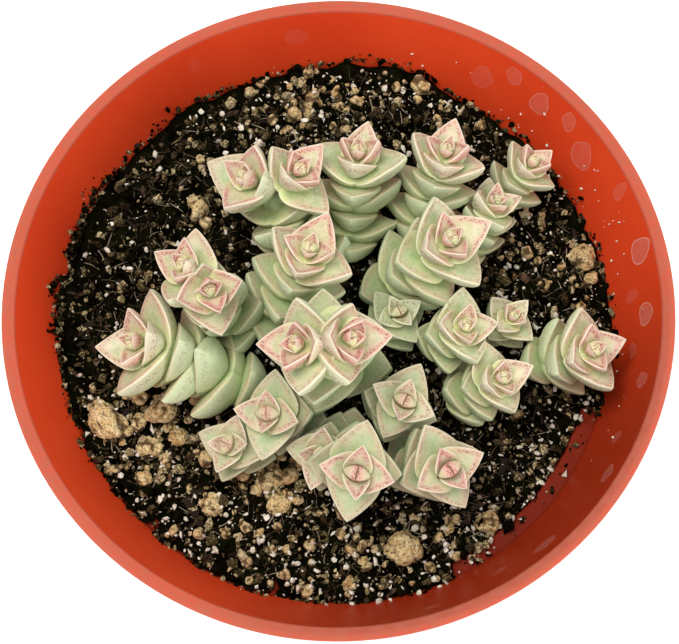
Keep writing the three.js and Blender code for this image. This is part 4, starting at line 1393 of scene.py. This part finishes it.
def stem_tube(line, kind, top_share):
    """The bare stem as a tube with slight knots where leaves grew."""
    points = []
    for i in range(TUBE_STEPS + 1):
        place, axis = on_line(line, top_share * i / TUBE_STEPS)
        if i == 0 and kind != "branch":
            place, axis = place - np.array([0, 0, ROOT_DEPTH]), np.array([0, 0, 1.0])
        across = unit(np.cross(axis, OFF_AXIS))
        other = np.cross(axis, across)
        radius = TUBE_RADIUS * (1 + 0.08 * math.sin(2.1 * i))
        for turn in np.arange(TUBE_SIDES) * 2 * math.pi / TUBE_SIDES:
            points.append(place + radius * (math.cos(turn) * across + math.sin(turn) * other))
    points += [np.mean(points[:TUBE_SIDES], axis=0), np.mean(points[-TUBE_SIDES:], axis=0)]
    return np.array(points)


print("a bare stem has", (TUBE_STEPS + 1) * TUBE_SIDES + 2, "points")

# %% [markdown]
# The rings are joined into faces, and each tip is closed with a fan. Every pair also carries an age, from
# 0 for the bud to 1 for the oldest leaves, its shoot's blush and a random number, so that one leaf
# material can colour the whole plant. The leaves of flat crowns are a little older and greyer. Where two
# heads share a trunk, a leaf that points at the other head has less room, and stays smaller.

# %% Grow the stems
STEM_MARKS = {"along": 0.3, "edge": 9.0, "under": 1.0, "shaded_crease": 0.0, "age": 1.0, "blush": 0.0, "tint": 0.5}
TIP_MARKS = {"along": 1.0, "edge": 0.0, "under": 0.0, "shaded_crease": 0.0}
HEADING_ROW = {"trunk": 0, "shoot": 3, "branch": 3}
HEADING_WANDER = 5
ROWS_TO_OLD = 6
TRUNK_OLDER = 3
FLAT_OLDER = 0.3
# How dark the painted shade of each kind of bud's outline is.
BUD_OUTLINE_SHADE = {"open": 0.0, "folded": 0.25, "flat": 1.0}
FLAT_TINT = 1.2


def room_beside(kind, lean, outward):
    """How far each leaf of a pair points at the twin head: 0 not at all, 1 straight at it."""
    if kind != "branch":
        return 0, 0
    facing = float(outward @ unit(np.array([*lean, 0.0])))
    return max(0.0, facing) ** 2, max(0.0, -facing) ** 2


def grow(rows, seed):
    """All the shoots of one node as arrays: points, faces and marks."""
    random = np.random.default_rng(seed)
    points, quads, fans = [], [], []
    marks = {name: [] for name in STEM_MARKS}
    count = 0
    for kind, start, tip, lean, size, heading, blush, form in rows:
        line = stem_line(kind, start, tip, lean)
        flat = form != "open"
        for number, base, axis, row in pair_rows(kind, form, size, line):
            quarters = number - HEADING_ROW[kind]
            turn = math.radians(heading + 90 * quarters + random.normal(0, HEADING_WANDER))
            upright = Vector((0, 0, 1)).rotation_difference(Vector(axis))
            outward = np.array(upright @ Vector((math.cos(turn), math.sin(turn), 0)))
            grown = 1.0 + TRUNK_OLDER * (kind == "trunk") + FLAT_OLDER * flat
            age = float(np.clip((number + grown) / ROWS_TO_OLD, 0, 1))
            if "bud" in row:
                reach, half = row["bud"]
                made, own = shut_bud(base, axis, outward, reach * size, half * size, BUD_OUTLINE_SHADE[form])
            else:
                plump = min(0.8, max(0.0, 1.3 * age - 0.45))
                crowded = room_beside(kind, lean, outward)
                made, own = leaf_pair(random, base, axis, outward, size, row, plump, crowded)
            quad, fan = ring_faces(OUT.size, AROUND, count)
            points += [made.reshape(-1, 3), np.array([made[0].mean(axis=0), made[-1].mean(axis=0)])]
            quads.append(quad)
            fans.append(fan)
            for name, value in TIP_MARKS.items():
                marks[name] += [own[name].ravel(), [value, value]]
            total = OUT.size * AROUND + 2
            marks["age"].append(np.full(total, age))
            marks["blush"].append(np.full(total, np.clip(blush + random.normal(0, 0.1), 0, 1)))
            marks["tint"].append(np.full(total, random.uniform(0, 1) + FLAT_TINT * flat))
            count += total
        top_share = 0.99 if kind == "trunk" else 1 - 0.5 * size / line[2][-1]
        tube = stem_tube(line, kind, top_share)
        quad, fan = ring_faces(TUBE_STEPS + 1, TUBE_SIDES, count)
        points.append(tube)
        quads.append(quad)
        fans.append(fan)
        for name, value in STEM_MARKS.items():
            marks[name].append(np.full(len(tube), value))
        count += len(tube)
    joined = {name: np.concatenate(values) for name, values in marks.items()}
    return np.vstack(points), [np.vstack(quads), np.vstack(fans)], joined


print("ready to grow", len(SHOOTS), "stems")

# %% [markdown]
# ## The leaf skin
#
# The skin is pale mint with a waxy bloom. Young leaves are yellow-green near the stem; older ones are
# greyer and darker. The margins and tips blush pink where the sun reached them, with a cream line at the
# very edge that is also a painted highlight, a dotted dark pink seam just inside it and tiny dark red dots
# all over. Painted shade darkens a bud's slit, its outline and its underside. All of this follows the
# leaf, so the material reads the marks of the mesh instead of painting by place in the world.

# %% Leaf material
leaf_material, tree, surface = new_material("leaf_skin")
along, edge, under = mark(tree, "along"), mark(tree, "edge"), mark(tree, "under")
age, blush, tint = mark(tree, "age"), mark(tree, "blush"), mark(tree, "tint")
clouds = effect(tree, MOTTLE, Size=1.6, Softness=0.15)
fine_clouds = effect(tree, MOTTLE, Size=0.55, Softness=0.2)
old = between(age, 0.35, 0.95)

# The green skin: its heart, its blotches and its wax.
colour = mixed(old, (0.74, 0.7, 0.48), (0.45, 0.53, 0.27))
colour = mixed((0.85 - old * 0.45) * between(along, 0.8, 0.2), colour, (0.58, 0.6, 0.21))
colour = mixed(clouds * between(edge, 0.5, 1.4) * 0.8, colour, (0.32, 0.44, 0.175))
wax = mixed(old, (0.76, 0.76, 0.6), (0.54, 0.63, 0.45))
colour = mixed(fine_clouds * 0.3 + under * 0.25, colour, wax)
colour = mixed(tint * 0.22, colour, (0.24, 0.3, 0.17))

# The blush: a band along the margin, the tip, and a wash over young leaves, where the sun reaches.
band = between(edge + (clouds - 0.5) * 0.9, 2.7, 0.5)
tips = between(along, 0.5, 0.9) * 0.9
wash = between(age, 0.85, 0.25) * 0.75
strength = between(age, 0.85, 0.15) * 0.62 + 0.38
shaded = under * between(age, 0.3, 0.6) * 0.8
sunned = blush * strength * between(age, -0.15, 0.25) * (1.0 - shaded)
rosy = band.or_more(tips).or_more(wash) * sunned * between(along, 0.1, 0.45)
colour = mixed(rosy, colour, (0.61, 0.365, 0.29))

# The margin: a dark pink seam inside it, and the cream line at its very edge, which is also a painted
# highlight.
uneven = edge + (clouds - 0.5) * 0.4
seam = between(uneven, 0.15, 0.5) * between(uneven, 1.3, 0.75) * between(along, 0.25, 0.55)
colour = mixed(seam * sunned * 0.6, colour, (0.5, 0.17, 0.155))
# The cream line is partly the leaf's own pale edge and partly a painted highlight.
cream_edge_and_highlight = between(edge, 0.16, 0.05) * between(age, 1.2, 0.3) * (0.75 - under * 0.55)
colour = mixed(cream_edge_and_highlight, colour, (0.82, 0.74, 0.62))

# The dots: a row in a lane along the margin, and stray ones everywhere.
row = effect(tree, SPECKS, Spacing=0.32, Radius=0.13, Share=0.72)
lane = between(edge, 0.28, 0.45) * between(edge, 1.2, 0.8) * between(along, 0.2, 0.5) * (1.0 - old * 0.5)
stray = effect(tree, SPECKS, Spacing=0.55, Radius=0.08, Share=0.42)
dots = (row * lane).or_more(stray * (0.75 - under * 0.5))
dot_colour = mixed(blush * between(age, 0.95, 0.3), (0.12, 0.16, 0.06), (0.27, 0.04, 0.04))
colour = mixed(dots * 0.85, colour, dot_colour)
# Painted shade: the bud's slit, its outline and its underside are darkened.
feed(surface, {
    "Base Color": mixed(mark(tree, "shaded_crease"), colour, (0.12, 0.07, 0.02)),
    "Roughness": clouds * 0.12 + 0.44,
    "Subsurface Weight": 0.12,
    "Subsurface Radius": (1.0, 0.9, 0.4),
    "Subsurface Scale": 0.7 * MM,
    "Specular IOR Level": 0.35,
    "Normal": bump(effect(tree, GRAIN, Size=0.5), 0.3, 0.08),
})
print("leaf material nodes:", len(tree.nodes))

# %% The plant
FIRST_SEED = 200

triangles = 0
for number, (node, rows) in enumerate(SHOOTS.items()):
    points, faces, marks = grow(rows, FIRST_SEED + number)
    add_piece("leaves_" + node, points, faces, leaf_material, [node], marks)
    triangles += 2 * len(faces[0]) + len(faces[1])
print("stems:", len(SHOOTS), "triangles:", triangles)
